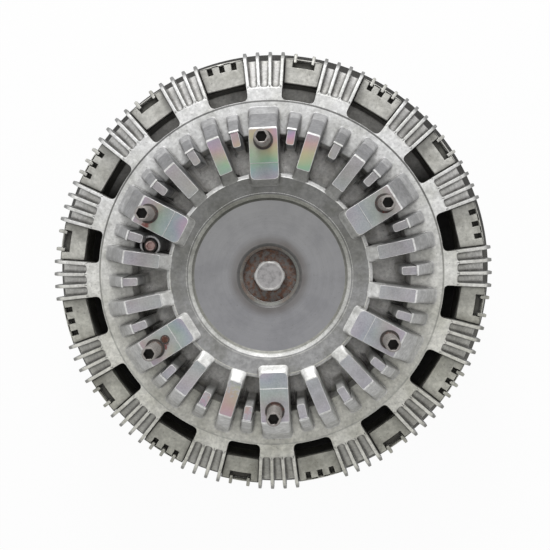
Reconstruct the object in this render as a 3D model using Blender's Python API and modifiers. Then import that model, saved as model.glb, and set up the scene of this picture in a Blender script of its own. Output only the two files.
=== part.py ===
"""Air operated fan clutch of the two-speed kind, standing on the foot of its journal bracket.

The fan side looks up +Z, and the shaft's axis is the Z axis. The foot's underside is at height 0.
Lengths are in metres. Angles are in degrees, clockwise from +Y as seen from the fan side.

From the bottom: the bracket carries the sheave on two bearings. A stub shaft stands on the sheave
and carries the piston, which a coil spring lifts against the fan disc, and the fan disc's own
bearing. The fan disc carries the fan's six studs, a finned rear ring and an eddy ring, which the
sheave's magnets drag round at low speed while air holds the piston down.
"""
import math

import bmesh
import bpy
from mathutils import Matrix, Vector

# Clearances
SEAT = 0.0003             # between two pieces that touch
RUNNING = 0.0007          # between round pieces that turn or slide, whose flat facets must pass
MERGE = 0.00001           # points closer than this are one

# Facets of a round piece
FINE = 32                 # a facet's edge then falls between two fins, and never across one
MEDIUM = 28
COARSE = 16
SMALL = 8

# Bracket
FOOT_LENGTH = 0.150
FOOT_WIDTH = 0.120
FOOT_THICKNESS = 0.018
FOOT_CORNER = 0.012
FOOT_HOLE_RADIUS = 0.0055
FOOT_HOLE_INSET = 0.015
JOURNAL_RADIUS = 0.0222
JOURNAL_THREAD_DEPTH = 0.0022
BOSS_WALL = 0.0118
BOSS_HEIGHT = 0.009
AIR_BORE_RADIUS = 0.004
FITTING_RADIUS = 0.0050
FITTING_BORE_RADIUS = 0.0025
FITTING_TAIL_RADIUS = 0.0040
FITTING_BARB = 0.0008
FITTING_FLATS = 0.0120
FITTING_HEX_LENGTH = 0.008
FITTING_TAIL_LENGTH = 0.012
FITTING_DEPTH = 0.010
SEAL_RADIUS = 0.009
SEAL_LENGTH = 0.014
JOURNAL_THREAD_RADIUS = JOURNAL_RADIUS - JOURNAL_THREAD_DEPTH
BOSS_RADIUS = JOURNAL_RADIUS + BOSS_WALL

# Sheave bearings and what holds them
RACE_SECTION = 0.0073
BEARING_SECTION = 0.0153
BEARING_WIDTH = 0.016
BEARING_SPACER = 0.0034
LOCK_WASHER_THICKNESS = 0.0015
LOCK_NUT_THICKNESS = 0.008
LOCK_NUT_SECTION = 0.0068
LOCK_NUT_SLOTS = 4
LOCK_NUT_SLOT_WIDTH = 0.005
LOCK_NUT_SLOT_DEPTH = 0.0025
NUT_CLEARANCE = 0.004
CIRCLIP_THICKNESS = 0.0018
CIRCLIP_DEPTH = 0.002
CIRCLIP_OPENING = 0.012
DUST_SEAL_THICKNESS = 0.003
BEARING_RACE_RADIUS = JOURNAL_RADIUS + RACE_SECTION
BEARING_OUTER_RADIUS = JOURNAL_RADIUS + BEARING_SECTION
LOCK_NUT_RADIUS = JOURNAL_RADIUS + LOCK_NUT_SECTION

# Stub shaft, whose flange stands on the sheave's web
SHAFT_RADIUS = 0.024
NOSE_SHOULDER = 0.004
NOSE_BELOW_RACE = 0.0008
SHAFT_FLANGE_RADIUS = 0.058
SHAFT_FLANGE_THICKNESS = 0.010
SHAFT_SCREW_INSET = 0.010
SHAFT_SCREW_COUNT = 6
SHAFT_AIR_BORE_RADIUS = 0.003
CAP_SCREW_RADIUS = 0.003
CAP_SCREW_HEAD_RADIUS = 0.005
CAP_SCREW_HEAD_HEIGHT = 0.006
CAP_SCREW_DEPTH = 0.008
NOSE_RADIUS = SHAFT_RADIUS - NOSE_SHOULDER
SHAFT_SCREW_CIRCLE = SHAFT_FLANGE_RADIUS - SHAFT_SCREW_INSET

# Spring and piston
SPRING_ROUND_SHAFT = 0.008
SPRING_WIRE_RADIUS = 0.003
SPRING_TURNS = 2.2
SPRING_HEIGHT = 0.020
SPRING_POINTS_A_TURN = 14
PISTON_THICKNESS = 0.0124
CHAMBER_WIDTH = 0.0216
CUP_WALL = 0.0085
CUP_HEIGHT = 0.018
CUP_TO_LINER = 0.0079
LINER_WIDTH = 0.031
LINER_THICKNESS = 0.0064
LINER_GROOVES = 6
LINER_GROOVE_WIDTH = 0.004
LINER_GROOVE_DEPTH = 0.0025
PIN_COUNT = 3
PIN_RADIUS = 0.0055
PIN_OUTSIDE_FLANGE = 0.012
PIN_FIRST_ANGLE = 30.0    # half a screw's spacing, so that pins stand between the screws
PIN_DEPTH = 0.008
PIN_IN_PISTON = 0.0075
PISTON_TRAVEL = 0.0025
SPRING_RADIUS = SHAFT_RADIUS + SPRING_ROUND_SHAFT
CUP_INNER_RADIUS = SHAFT_RADIUS + CHAMBER_WIDTH
CUP_OUTER_RADIUS = CUP_INNER_RADIUS + CUP_WALL
LINER_INNER_RADIUS = CUP_OUTER_RADIUS + CUP_TO_LINER
PISTON_RADIUS = LINER_INNER_RADIUS + LINER_WIDTH
PIN_CIRCLE = SHAFT_FLANGE_RADIUS + PIN_OUTSIDE_FLANGE

# Air chamber cap and seals
CAP_THICKNESS = 0.008
CHAMBER_HEIGHT = 0.008
CAP_SEAL_WIDTH = 0.003
CAP_SEAL_DEPTH = 0.0022
SHAFT_SEAL_WIDTH = 0.003
SHAFT_SEAL_DEPTH = 0.0022
CAP_RADIUS = CUP_INNER_RADIUS - 2 * SEAT

# Fan bearing and what clamps it
FAN_RACE_SECTION = 0.0062
FAN_BEARING_SECTION = 0.016
FAN_BEARING_WIDTH = 0.016
FAN_SPACER = 0.0100
CLAMP_WASHER_SECTION = 0.004
CLAMP_WASHER_THICKNESS = 0.005
CENTRE_BOLT_RADIUS = 0.0064
CENTRE_BOLT_FLATS = 0.0195
CENTRE_BOLT_HEAD = 0.0085
CENTRE_BOLT_LENGTH = 0.034
CENTRE_BOLT_CHAMFER = 0.0008
FAN_RACE_RADIUS = NOSE_RADIUS + FAN_RACE_SECTION
FAN_BEARING_RADIUS = NOSE_RADIUS + FAN_BEARING_SECTION
CLAMP_WASHER_RADIUS = NOSE_RADIUS + CLAMP_WASHER_SECTION

# Sheave, with its drum round the piston
RIM_RADIUS = 0.100
RIM_THICKNESS = 0.017
GROOVE_COUNT = 6
GROOVE_PITCH = 0.00356
GROOVE_DEPTH = 0.0030
GROOVE_LAND = 0.0060
HUB_WALL = 0.0155
WEB_THICKNESS = 0.012
PISTON_TO_DRUM = 0.005
DRUM_WALL = 0.006
DRUM_BELOW_FRICTION = 0.007
MAGNET_FLANGE_THICKNESS = 0.008
RIM_INNER_RADIUS = RIM_RADIUS - RIM_THICKNESS
HUB_RADIUS = BEARING_OUTER_RADIUS + HUB_WALL
DRUM_INNER_RADIUS = PISTON_RADIUS + PISTON_TO_DRUM
DRUM_RADIUS = DRUM_INNER_RADIUS + DRUM_WALL

# Eddy ring and the magnets below it
DRUM_TO_EDDY = 0.003
EDDY_WIDTH = 0.033
EDDY_THICKNESS = 0.0077
MAGNET_COUNT = 16
MAGNET_THICKNESS = 0.0075
MAGNET_INSET = 0.0045
MAGNET_WIDTH = 0.030
MAGNET_PLATE_THICKNESS = 0.006
AIR_GAP = 0.0013
EDDY_INNER_RADIUS = DRUM_RADIUS + DRUM_TO_EDDY
EDDY_OUTER_RADIUS = EDDY_INNER_RADIUS + EDDY_WIDTH

# Lugs that hold the rear ring and the eddy ring to the disc
LUG_COUNT = 4
LUG_WIDTH = 0.014
LUG_INSET = 0.002
LUG_SCREW_INSET = 0.008
LUG_SCREW_RADIUS = 0.0036
LUG_SCREW_HEAD_RADIUS = 0.0064
LUG_SCREW_DEPTH = 0.0050
LUG_CLEARANCE = 0.001     # on the slope, where the lug's flat sides meet a round face
LUG_INNER_RADIUS = EDDY_INNER_RADIUS + LUG_INSET
LUG_SCREW_CIRCLE = EDDY_INNER_RADIUS + LUG_SCREW_INSET

# Rim of the fan disc, from the eddy ring's width outwards
RING_OVER_EDDY = 0.009
WINDOW_GAP = 0.013
WINDOW_CORNER = 0.0034
STEP_TO_WINDOW = 0.001
WINDOW_TO_VALLEY = 0.009
VALLEY_LENGTH = 0.022
FIN_OVERHANG = 0.0043
RING_INNER_RADIUS = EDDY_OUTER_RADIUS - RING_OVER_EDDY
WINDOW_INNER_RADIUS = RING_INNER_RADIUS - WINDOW_GAP
STEP_RADIUS = WINDOW_INNER_RADIUS - STEP_TO_WINDOW
VALLEY_RADIUS = WINDOW_INNER_RADIUS + WINDOW_TO_VALLEY
DISC_RADIUS = VALLEY_RADIUS + VALLEY_LENGTH
FIN_TIP_RADIUS = DISC_RADIUS + FIN_OVERHANG

# Fins and windows of the rim
WINDOW_PITCH = 22.5
WIDE_WINDOW = 13.4        # between the fins at its two sides
NARROW_WINDOW = 11.5
FINS_A_GROUP = 4
FIN_THICKNESS = 0.0028
FIN_ROOT = 0.0010         # how far a fin reaches into the flange
FIN_NOSE = 0.0053
FIN_SUNK = 0.0003         # below the flange, so that a fin grows out of the valley's step
FIN_SHOULDER_DROP = 0.0040
FIN_TIP_DROP = 0.0120
FIN_TIP_HEIGHT = 0.0065
WINDOW_TRIM = 0.0003      # a window trims this much off the fins beside it, for one clean wall

# Hub of the fan disc
CENTRE_HOLE_CLEARANCE = 0.00655
CENTRE_CHAMFER = 0.0042
WASHER_POCKET_CLEARANCE = 0.003
BEARING_BOSS_WALL = 0.007
CUP_CLEARANCE = 0.0035
DISC_HUB_WALL = 0.0099
ANNULUS_WIDTH = 0.014
HUB_STEP_WIDTH = 0.004
DRAFT = 0.0010
FRICTION_MARGIN = 0.008
POCKET_RIM = 0.0061
SKIRT_DRAFT = 0.003
KNEE_INSET = 0.006
CENTRE_HOLE_RADIUS = CENTRE_BOLT_FLATS / math.sqrt(3) + CENTRE_HOLE_CLEARANCE
WASHER_POCKET_RADIUS = CLAMP_WASHER_RADIUS + WASHER_POCKET_CLEARANCE
BEARING_BOSS_RADIUS = FAN_BEARING_RADIUS + BEARING_BOSS_WALL
PISTON_RECESS_RADIUS = CUP_OUTER_RADIUS + CUP_CLEARANCE
DISC_HUB_RADIUS = PISTON_RECESS_RADIUS + DISC_HUB_WALL
HUB_STEP_RADIUS = DISC_HUB_RADIUS - ANNULUS_WIDTH
INNER_DISC_RADIUS = HUB_STEP_RADIUS - HUB_STEP_WIDTH
FRICTION_FACE_RADIUS = PISTON_RADIUS + FRICTION_MARGIN
POCKET_OUTER_RADIUS = FRICTION_FACE_RADIUS - POCKET_RIM
FLANGE_KNEE_RADIUS = VALLEY_RADIUS - KNEE_INSET

# Fan disc, heights and walls
FRONT_WALL = 0.013
WASHER_POCKET_DEPTH = 0.007
HUB_STEP = 0.003
PAD_ABOVE_DISC = 0.008
FLANGE_BELOW_PADS = 0.029
POCKET_WALL = 0.007
FLANGE_THICKNESS = 0.008
FLANGE_STEP = 0.0008
VALLEY_STEP = 0.005
VALLEY_DROP = 0.0172
RIM_WALL = 0.0055

# Studs
STUD_CIRCLE = 0.0889
STUD_RADIUS = 0.0049
STUD_HEIGHT = 0.025
STUD_DEPTH = 0.018
STUD_SOCKET_FLATS = 0.0050
STUD_SOCKET_DEPTH = 0.006
STUD_CHAMFER = 0.0010
STUD_COUNTERBORE = 0.0008
STUD_COUNTERBORE_DEPTH = 0.0012
DOWEL_ANGLE = 241.2
DOWEL_RADIUS = 0.0022
DOWEL_INSET = 0.0088      # from the stud circle, towards the axis
DOWEL_DEPTH = 0.010
LOCK_SCREW_ANGLE = 286.3
LOCK_SCREW_INSET = 0.0064
LOCK_SCREW_RADIUS = 0.0030
LOCK_SCREW_HEAD_RADIUS = 0.0046
LOCK_SCREW_HEAD_HEIGHT = 0.0035
LOCK_SCREW_DEPTH = 0.012
LOCK_BOSS_RADIUS = 0.0070
LOCK_BOSS_BELOW_PADS = 0.014
LOCK_BORE_CLEARANCE = 0.0008
LOCK_SCREW_CIRCLE = STUD_CIRCLE - LOCK_SCREW_INSET

# Pads and ribs
PAD_COUNT = 6
PAD_WIDTH = 0.020
PAD_INTO_HUB = 0.0055
PAD_RELIEF_INSET = 0.0129
PAD_RELIEF = 0.0010
PAD_BEYOND_STUDS = 0.0068
PAD_TO_STEP = 0.0022
LONG_RIB_WIDTH = 0.0098
LONG_RIB_INTO_HUB = 0.0035
LONG_RIB_ANGLE = 10.0
SHORT_RIB_WIDTH = 0.0063
SHORT_RIB_REACH = 0.0099
SHORT_RIB_ANGLES = (-18.7, 0.0, 18.7)
SHORT_RIB_DROP = 0.0010
RIB_EMBED = 0.003         # how far a rib's foot is sunk into the disc before they are joined
PAD_INNER_RADIUS = DISC_HUB_RADIUS - PAD_INTO_HUB
PAD_RELIEF_RADIUS = STUD_CIRCLE - PAD_RELIEF_INSET
PAD_EDGE_RADIUS = STUD_CIRCLE + PAD_BEYOND_STUDS
PAD_FOOT_RADIUS = STEP_RADIUS - PAD_TO_STEP
LONG_RIB_INNER_RADIUS = DISC_HUB_RADIUS - LONG_RIB_INTO_HUB
SHORT_RIB_INNER_RADIUS = POCKET_OUTER_RADIUS - SHORT_RIB_REACH

# Rear ring
ISLAND_BELOW_PADS = 0.043
RING_BASE_HEIGHT = 0.0080
SKIRT_FLARE = 0.008
SKIRT_WALL = 0.006
SKIRT_BOTTOM_BELOW_PADS = 0.087
STUB_OVERHANG = 0.0035
STUB_DROP = 0.007
STUB_PROUD = 0.0012
NARROW_STUB_ANGLE = 2.4
SLOT_LENGTH = 0.0052
SLOT_FROM_RIM = 0.001
SLOT_WIDTH = 0.0032
SLOT_DEPTH = 0.006
RECESS_WIDTH = 0.0150
RECESS_DEPTH = 0.004
SKIRT_RADIUS = DISC_RADIUS + SKIRT_FLARE
STUB_TIP_RADIUS = DISC_RADIUS + STUB_OVERHANG
SLOT_OUTER_RADIUS = DISC_RADIUS - SLOT_FROM_RIM
SLOT_INNER_RADIUS = SLOT_OUTER_RADIUS - SLOT_LENGTH

# Heights, worked out from the foot upwards
JOURNAL_SHOULDER = FOOT_THICKNESS + BOSS_HEIGHT
REAR_BEARING_BOTTOM = JOURNAL_SHOULDER + SEAT
REAR_BEARING_TOP = REAR_BEARING_BOTTOM + BEARING_WIDTH
SPACER_BOTTOM = REAR_BEARING_TOP + SEAT
SPACER_TOP = SPACER_BOTTOM + BEARING_SPACER
FRONT_BEARING_BOTTOM = SPACER_TOP + SEAT
FRONT_BEARING_TOP = FRONT_BEARING_BOTTOM + BEARING_WIDTH
LOCK_WASHER_BOTTOM = FRONT_BEARING_TOP + SEAT
LOCK_WASHER_TOP = LOCK_WASHER_BOTTOM + LOCK_WASHER_THICKNESS
LOCK_NUT_BOTTOM = LOCK_WASHER_TOP + SEAT
LOCK_NUT_TOP = LOCK_NUT_BOTTOM + LOCK_NUT_THICKNESS
WEB_TOP = LOCK_NUT_TOP + NUT_CLEARANCE
WEB_BOTTOM = WEB_TOP - WEB_THICKNESS
RIM_BACK = WEB_BOTTOM - 2 * GROOVE_LAND - GROOVE_COUNT * GROOVE_PITCH
CIRCLIP_TOP = REAR_BEARING_BOTTOM - SEAT
CIRCLIP_BOTTOM = CIRCLIP_TOP - CIRCLIP_THICKNESS
DUST_SEAL_TOP = CIRCLIP_BOTTOM - SEAT
DUST_SEAL_BOTTOM = DUST_SEAL_TOP - DUST_SEAL_THICKNESS
SHAFT_BOTTOM = WEB_TOP + SEAT
SHAFT_FLANGE_TOP = SHAFT_BOTTOM + SHAFT_FLANGE_THICKNESS
SEAL_TOP = SHAFT_BOTTOM - SEAT
SEAL_BOTTOM = SEAL_TOP - SEAL_LENGTH
SPRING_BOTTOM = SHAFT_FLANGE_TOP + SEAT
SPRING_TOP = SPRING_BOTTOM + SPRING_HEIGHT
PISTON_BOTTOM = SPRING_TOP + SEAT
PISTON_TOP = PISTON_BOTTOM + PISTON_THICKNESS
LINER_BOTTOM = PISTON_TOP + SEAT
LINER_TOP = LINER_BOTTOM + LINER_THICKNESS
FRICTION_FACE = LINER_TOP + SEAT
CAP_BOTTOM = PISTON_TOP + CHAMBER_HEIGHT
CAP_TOP = CAP_BOTTOM + CAP_THICKNESS
FAN_SPACER_BOTTOM = CAP_TOP + SEAT
FAN_SPACER_TOP = FAN_SPACER_BOTTOM + FAN_SPACER
FAN_BEARING_BOTTOM = FAN_SPACER_TOP + SEAT
FAN_BEARING_TOP = FAN_BEARING_BOTTOM + FAN_BEARING_WIDTH
HUB_CEILING = FAN_BEARING_TOP + SEAT
INNER_DISC = HUB_CEILING + FRONT_WALL
PADS = INNER_DISC + PAD_ABOVE_DISC
FLANGE = PADS - FLANGE_BELOW_PADS
VALLEY_TOP = FLANGE - FLANGE_STEP
POCKET_FLOOR = FRICTION_FACE + POCKET_WALL
FLANGE_UNDERSIDE = FLANGE - FLANGE_THICKNESS
VALLEY_UNDERSIDE = FLANGE_UNDERSIDE - VALLEY_STEP
RIM_TOP = VALLEY_TOP - VALLEY_STEP - VALLEY_DROP
RIM_UNDERSIDE = RIM_TOP - RIM_WALL
ISLAND_TOP = PADS - ISLAND_BELOW_PADS
RING_BOTTOM = RIM_UNDERSIDE - SEAT - RING_BASE_HEIGHT
EDDY_TOP = RING_BOTTOM - SEAT
EDDY_BOTTOM = EDDY_TOP - EDDY_THICKNESS
MAGNET_TOP = EDDY_BOTTOM - AIR_GAP
MAGNET_PLATE_TOP = MAGNET_TOP - MAGNET_THICKNESS
MAGNET_PLATE_BOTTOM = MAGNET_PLATE_TOP - MAGNET_PLATE_THICKNESS
MAGNET_FLANGE_TOP = MAGNET_PLATE_BOTTOM - SEAT
MAGNET_FLANGE_BOTTOM = MAGNET_FLANGE_TOP - MAGNET_FLANGE_THICKNESS
DRUM_TOP = FRICTION_FACE - DRUM_BELOW_FRICTION
SHAFT_SHOULDER = CAP_BOTTOM - SEAT
SHAFT_TOP = FAN_BEARING_TOP - NOSE_BELOW_RACE
WASHER_BOTTOM = FAN_BEARING_TOP + SEAT
WASHER_TOP = WASHER_BOTTOM + CLAMP_WASHER_THICKNESS
BOLT_HEAD_BOTTOM = WASHER_TOP + SEAT
BOLT_HEAD_TOP = BOLT_HEAD_BOTTOM + CENTRE_BOLT_HEAD
AIR_PORT_HEIGHT = (PISTON_TOP + CAP_BOTTOM) / 2


class Finish:
    """The colour and surface of one kind of piece."""

    def __init__(self, name, colour, roughness, metallic):
        self.material = bpy.data.materials.new(name)
        self.material.diffuse_color = (*colour, 1.0)
        self.material.use_nodes = True
        shader = self.material.node_tree.nodes["Principled BSDF"]
        shader.inputs["Base Color"].default_value = (*colour, 1.0)
        shader.inputs["Roughness"].default_value = roughness
        shader.inputs["Metallic"].default_value = metallic


def clear_scene():
    """Empties the scene and makes one collection for the pieces and one for their cutters."""
    for old in list(bpy.data.objects):
        bpy.data.objects.remove(old, do_unlink=True)
    pieces = bpy.data.collections.new("air_fan_clutch")
    cutters = bpy.data.collections.new("cutters")
    for collection in (pieces, cutters):
        bpy.context.scene.collection.children.link(collection)
    return pieces, cutters


PIECES, CUTTERS = clear_scene()

CAST = Finish("cast aluminium", (0.62, 0.62, 0.61), 0.45, 1.0)
DARK_CAST = Finish("dark cast iron", (0.10, 0.10, 0.10), 0.6, 0.6)
STEEL = Finish("machined steel", (0.45, 0.45, 0.46), 0.35, 1.0)
ZINC = Finish("zinc plated steel", (0.55, 0.53, 0.47), 0.35, 1.0)
RUST = Finish("browned steel", (0.16, 0.09, 0.05), 0.6, 0.6)
RUBBER = Finish("black rubber", (0.02, 0.02, 0.02), 0.7, 0.0)
LINING = Finish("friction lining", (0.20, 0.15, 0.11), 0.85, 0.0)
BRASS = Finish("brass", (0.72, 0.53, 0.24), 0.35, 1.0)
MAGNET = Finish("nickel plated magnets", (0.50, 0.49, 0.46), 0.3, 1.0)


def place(name, mesh, finish=None):
    """Puts a mesh in the scene: with a finish it is a piece, and without one a cutter."""
    thing = bpy.data.objects.new(name, mesh)
    if finish is None:
        CUTTERS.objects.link(thing)
        thing.hide_render = True
        thing.display_type = "WIRE"
    else:
        PIECES.objects.link(thing)
        mesh.materials.append(finish.material)
    return thing


def turned(name, outline, finish=None, segments=COARSE):
    """A turned solid. Its outline of (radius, height) runs clockwise: out along the top,
    down the outer side, in along the bottom and, where it has a hole, up the hole."""
    ring = all(radius > 0 for radius, _ in outline)
    mesh = bpy.data.meshes.new(name)
    count = len(outline)
    edges = [(i, (i + 1) % count) for i in range(count if ring else count - 1)]
    mesh.from_pydata([(radius, 0, height) for radius, height in outline], edges, [])
    thing = place(name, mesh, finish)
    screw = thing.modifiers.new("turn", "SCREW")
    screw.steps = screw.render_steps = segments
    screw.use_merge_vertices = True
    screw.merge_threshold = MERGE
    return thing


def realised(thing):
    """The object's mesh as its modifiers or its curve make it, with loose caps welded."""
    bpy.context.view_layer.update()
    evaluated = thing.evaluated_get(bpy.context.evaluated_depsgraph_get())
    mesh = bpy.data.meshes.new_from_object(evaluated)
    mesh.transform(thing.matrix_world)
    shape = bmesh.new()
    shape.from_mesh(mesh)
    bmesh.ops.remove_doubles(shape, verts=shape.verts, dist=MERGE)
    bmesh.ops.recalc_face_normals(shape, faces=shape.faces)
    shape.to_mesh(mesh)
    shape.free()
    mesh.materials.clear()
    bpy.data.objects.remove(thing, do_unlink=True)
    return mesh


def plate(outline, bottom, top):
    """A mesh with the given flat outline, from one height to the other."""
    curve = bpy.data.curves.new("outline", "CURVE")
    curve.dimensions = "2D"
    curve.fill_mode = "BOTH"
    curve.extrude = (top - bottom) / 2
    spline = curve.splines.new("POLY")
    spline.points.add(len(outline) - 1)
    for point, (x, y) in zip(spline.points, outline):
        point.co = (x, y, 0, 1)
    spline.use_cyclic_u = True
    thing = place("outline", curve)
    thing.location.z = (top + bottom) / 2
    return realised(thing)


def upright(outline, thickness):
    """A mesh with a side outline of (radius, height), as thick as given across its radius."""
    mesh = plate(outline, -thickness / 2, thickness / 2)
    mesh.transform(Matrix.Rotation(math.radians(90), 4, "X"))
    return mesh


def block(size, centre):
    """A box's mesh, by its sizes and centre."""
    shape = bmesh.new()
    bmesh.ops.create_cube(shape, size=1.0, matrix=Matrix.Translation(centre) @ Matrix.Diagonal((*size, 1)))
    mesh = bpy.data.meshes.new("block")
    shape.to_mesh(mesh)
    shape.free()
    return mesh


def prism(radius, bottom, top, sides=SMALL, at=(0, 0)):
    """An upright cylinder's or prism's mesh, by its corner radius and heights."""
    shape = bmesh.new()
    middle = Matrix.Translation((*at, (bottom + top) / 2))
    bmesh.ops.create_cone(shape, cap_ends=True, segments=sides, radius1=radius, radius2=radius,
                          depth=top - bottom, matrix=middle)
    mesh = bpy.data.meshes.new("prism")
    shape.to_mesh(mesh)
    shape.free()
    return mesh


def turned_about(angle):
    """The turn that takes +X to the given angle, clockwise from +Y."""
    return Matrix.Rotation(math.radians(90 - angle), 4, "Z")


def around(mesh, angles):
    """Copies of a mesh drawn at +X, one at each angle."""
    return [(mesh, turned_about(angle)) for angle in angles]


def gathered(name, copies, finish=None):
    """One object of many copies, each a mesh and its place."""
    shape = bmesh.new()
    for mesh, matrix in copies:
        copy = mesh.copy()
        copy.transform(matrix)
        shape.from_mesh(copy)
        bpy.data.meshes.remove(copy)
    mesh = bpy.data.meshes.new(name)
    shape.to_mesh(mesh)
    shape.free()
    return place(name, mesh, finish)


def combine(target, other, operation):
    """A Boolean of the target with another object, which then only serves as its tool."""
    boolean = target.modifiers.new(other.name, "BOOLEAN")
    boolean.operation = operation
    boolean.solver = "EXACT"
    boolean.object = other


def join(target, other):
    combine(target, other, "UNION")


def cut(target, other):
    combine(target, other, "DIFFERENCE")


def evenly(count, first=0.0):
    """Angles spaced evenly round the axis."""
    return [first + 360 * i / count for i in range(count)]


def at_angle(radius, angle):
    """The point at this radius and angle, clockwise from +Y."""
    return Vector((radius * math.sin(math.radians(angle)), radius * math.cos(math.radians(angle))))


def arc(radius, first, last, steps):
    """Points of an arc about the axis, its angles from +X."""
    angles = [math.radians(first + (last - first) * i / steps) for i in range(steps + 1)]
    return [(radius * math.cos(a), radius * math.sin(a)) for a in angles]


def round_ended(inner, outer, width, steps):
    """Plan of a rib along +X with a half-round inner end."""
    half = width / 2
    angles = [math.radians(90 + 180 * i / steps) for i in range(steps + 1)]
    nose = [(inner + half + half * math.cos(a), half * math.sin(a)) for a in angles]
    return [(outer, half), *nose, (outer, -half)]


def rounded_rectangle(length, width, corner, steps=4):
    """Plan of a plate with rounded corners."""
    points = []
    for k, (sx, sy) in enumerate(((1, 1), (-1, 1), (-1, -1), (1, -1))):
        cx, cy = sx * (length / 2 - corner), sy * (width / 2 - corner)
        for i in range(steps + 1):
            a = math.radians(90 * k + 90 * i / steps)
            points.append((cx + corner * math.cos(a), cy + corner * math.sin(a)))
    return points


def ring(name, inner, outer, bottom, top, finish=None, segments=COARSE):
    """A plain turned ring."""
    return turned(name, [(inner, top), (outer, top), (outer, bottom), (inner, bottom)], finish, segments)


def bearing(name, bore, race, outer, bottom, top):
    """A sealed bearing as its inner race and its outer race, which holds the seals and balls."""
    inner_name, outer_name = name + "_inner_race", name + "_outer_race"
    ring(inner_name, bore, race - RUNNING, bottom, top, STEEL)
    ring(outer_name, race, outer, bottom, top, STEEL)


def standing(name, outline, circle, angle, finish):
    """A turned piece that stands at an angle of a circle, its facets in line with its hole's."""
    thing = turned(name, outline, finish, SMALL)
    thing.location = (*at_angle(circle, angle), 0)
    thing.rotation_euler.z = math.radians(90 - angle)
    return thing


def drilled(thing, name, outline, circle, angles):
    """Cuts a turned hole at each angle of a circle round the axis."""
    hole = realised(turned(name + "_tool", outline, None, SMALL))
    hole.transform(Matrix.Translation((circle, 0, 0)))
    cut(thing, gathered(name, around(hole, angles)))


def plain_hole(radius, bottom, top):
    """A hole's outline, closed at the axis."""
    return [(0, top), (radius, top), (radius, bottom), (0, bottom)]


def make_bracket():
    """The foot, boss and journal are one casting, with the air bore up its middle."""
    top = LOCK_NUT_TOP + SEAT
    half_foot = FOOT_THICKNESS / 2
    seat_end = FRONT_BEARING_TOP - RUNNING
    outline = [(0, top), (JOURNAL_THREAD_RADIUS, top), (JOURNAL_THREAD_RADIUS, seat_end),
               (JOURNAL_RADIUS, seat_end), (JOURNAL_RADIUS, JOURNAL_SHOULDER),
               (BOSS_RADIUS, JOURNAL_SHOULDER), (BOSS_RADIUS, half_foot), (0, half_foot)]
    bracket = turned("journal_bracket", outline, DARK_CAST)
    foot = plate(rounded_rectangle(FOOT_LENGTH, FOOT_WIDTH, FOOT_CORNER), 0, FOOT_THICKNESS)
    join(bracket, place("foot_plate", foot))
    x, y = FOOT_LENGTH / 2 - FOOT_HOLE_INSET, FOOT_WIDTH / 2 - FOOT_HOLE_INSET
    spots = [(x, y), (-x, y), (-x, -y), (x, -y)]
    hole = prism(FOOT_HOLE_RADIUS, -FOOT_THICKNESS, 2 * FOOT_THICKNESS)
    cut(bracket, gathered("foot_holes", [(hole, Matrix.Translation((*spot, 0))) for spot in spots]))
    seal_pocket = SEAL_BOTTOM - SEAT
    bore = [(0, top + SEAT), (SEAL_RADIUS + SEAT, top + SEAT), (SEAL_RADIUS + SEAT, seal_pocket),
            (AIR_BORE_RADIUS, seal_pocket), (AIR_BORE_RADIUS, half_foot), (0, half_foot)]
    cut(bracket, turned("air_bore", bore))
    cross_hole = plain_hole(AIR_BORE_RADIUS, -AIR_BORE_RADIUS, FOOT_WIDTH / 2)
    cross = turned("air_cross_bore", cross_hole, None, SMALL)
    port_hole = plain_hole(FITTING_RADIUS + SEAT, -FITTING_DEPTH - SEAT, FITTING_DEPTH)
    port = turned("fitting_hole", port_hole, None, SMALL)
    lay_at_foot(cross, 0)
    lay_at_foot(port, FOOT_WIDTH / 2)
    cut(bracket, cross)
    cut(bracket, port)


def lay_at_foot(thing, distance):
    """Turns a piece made along +Z to point along -Y from the foot's middle height."""
    thing.rotation_euler = (math.radians(90), 0, 0)
    thing.location = (0, -distance, FOOT_THICKNESS / 2)


def make_air_fitting():
    """A brass hose fitting in the side of the foot."""
    tail = FITTING_HEX_LENGTH + FITTING_TAIL_LENGTH
    neck = FITTING_TAIL_RADIUS - FITTING_BARB
    outline = [(0, tail), (neck, tail), (FITTING_TAIL_RADIUS, tail - FITTING_TAIL_LENGTH / 2),
               (neck, FITTING_HEX_LENGTH), (FITTING_RADIUS, FITTING_HEX_LENGTH),
               (FITTING_RADIUS, -FITTING_DEPTH), (0, -FITTING_DEPTH)]
    fitting = turned("air_fitting", outline, BRASS, SMALL)
    hexagon = place("fitting_hexagon", prism(FITTING_FLATS / math.sqrt(3), 0, FITTING_HEX_LENGTH, 6))
    bore_hole = plain_hole(FITTING_BORE_RADIUS, -FITTING_DEPTH - SEAT, tail + SEAT)
    bore = turned("fitting_bore", bore_hole, None, SMALL)
    for thing in (fitting, hexagon, bore):
        lay_at_foot(thing, FOOT_WIDTH / 2 + SEAT)
    join(fitting, hexagon)
    cut(fitting, bore)


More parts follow.
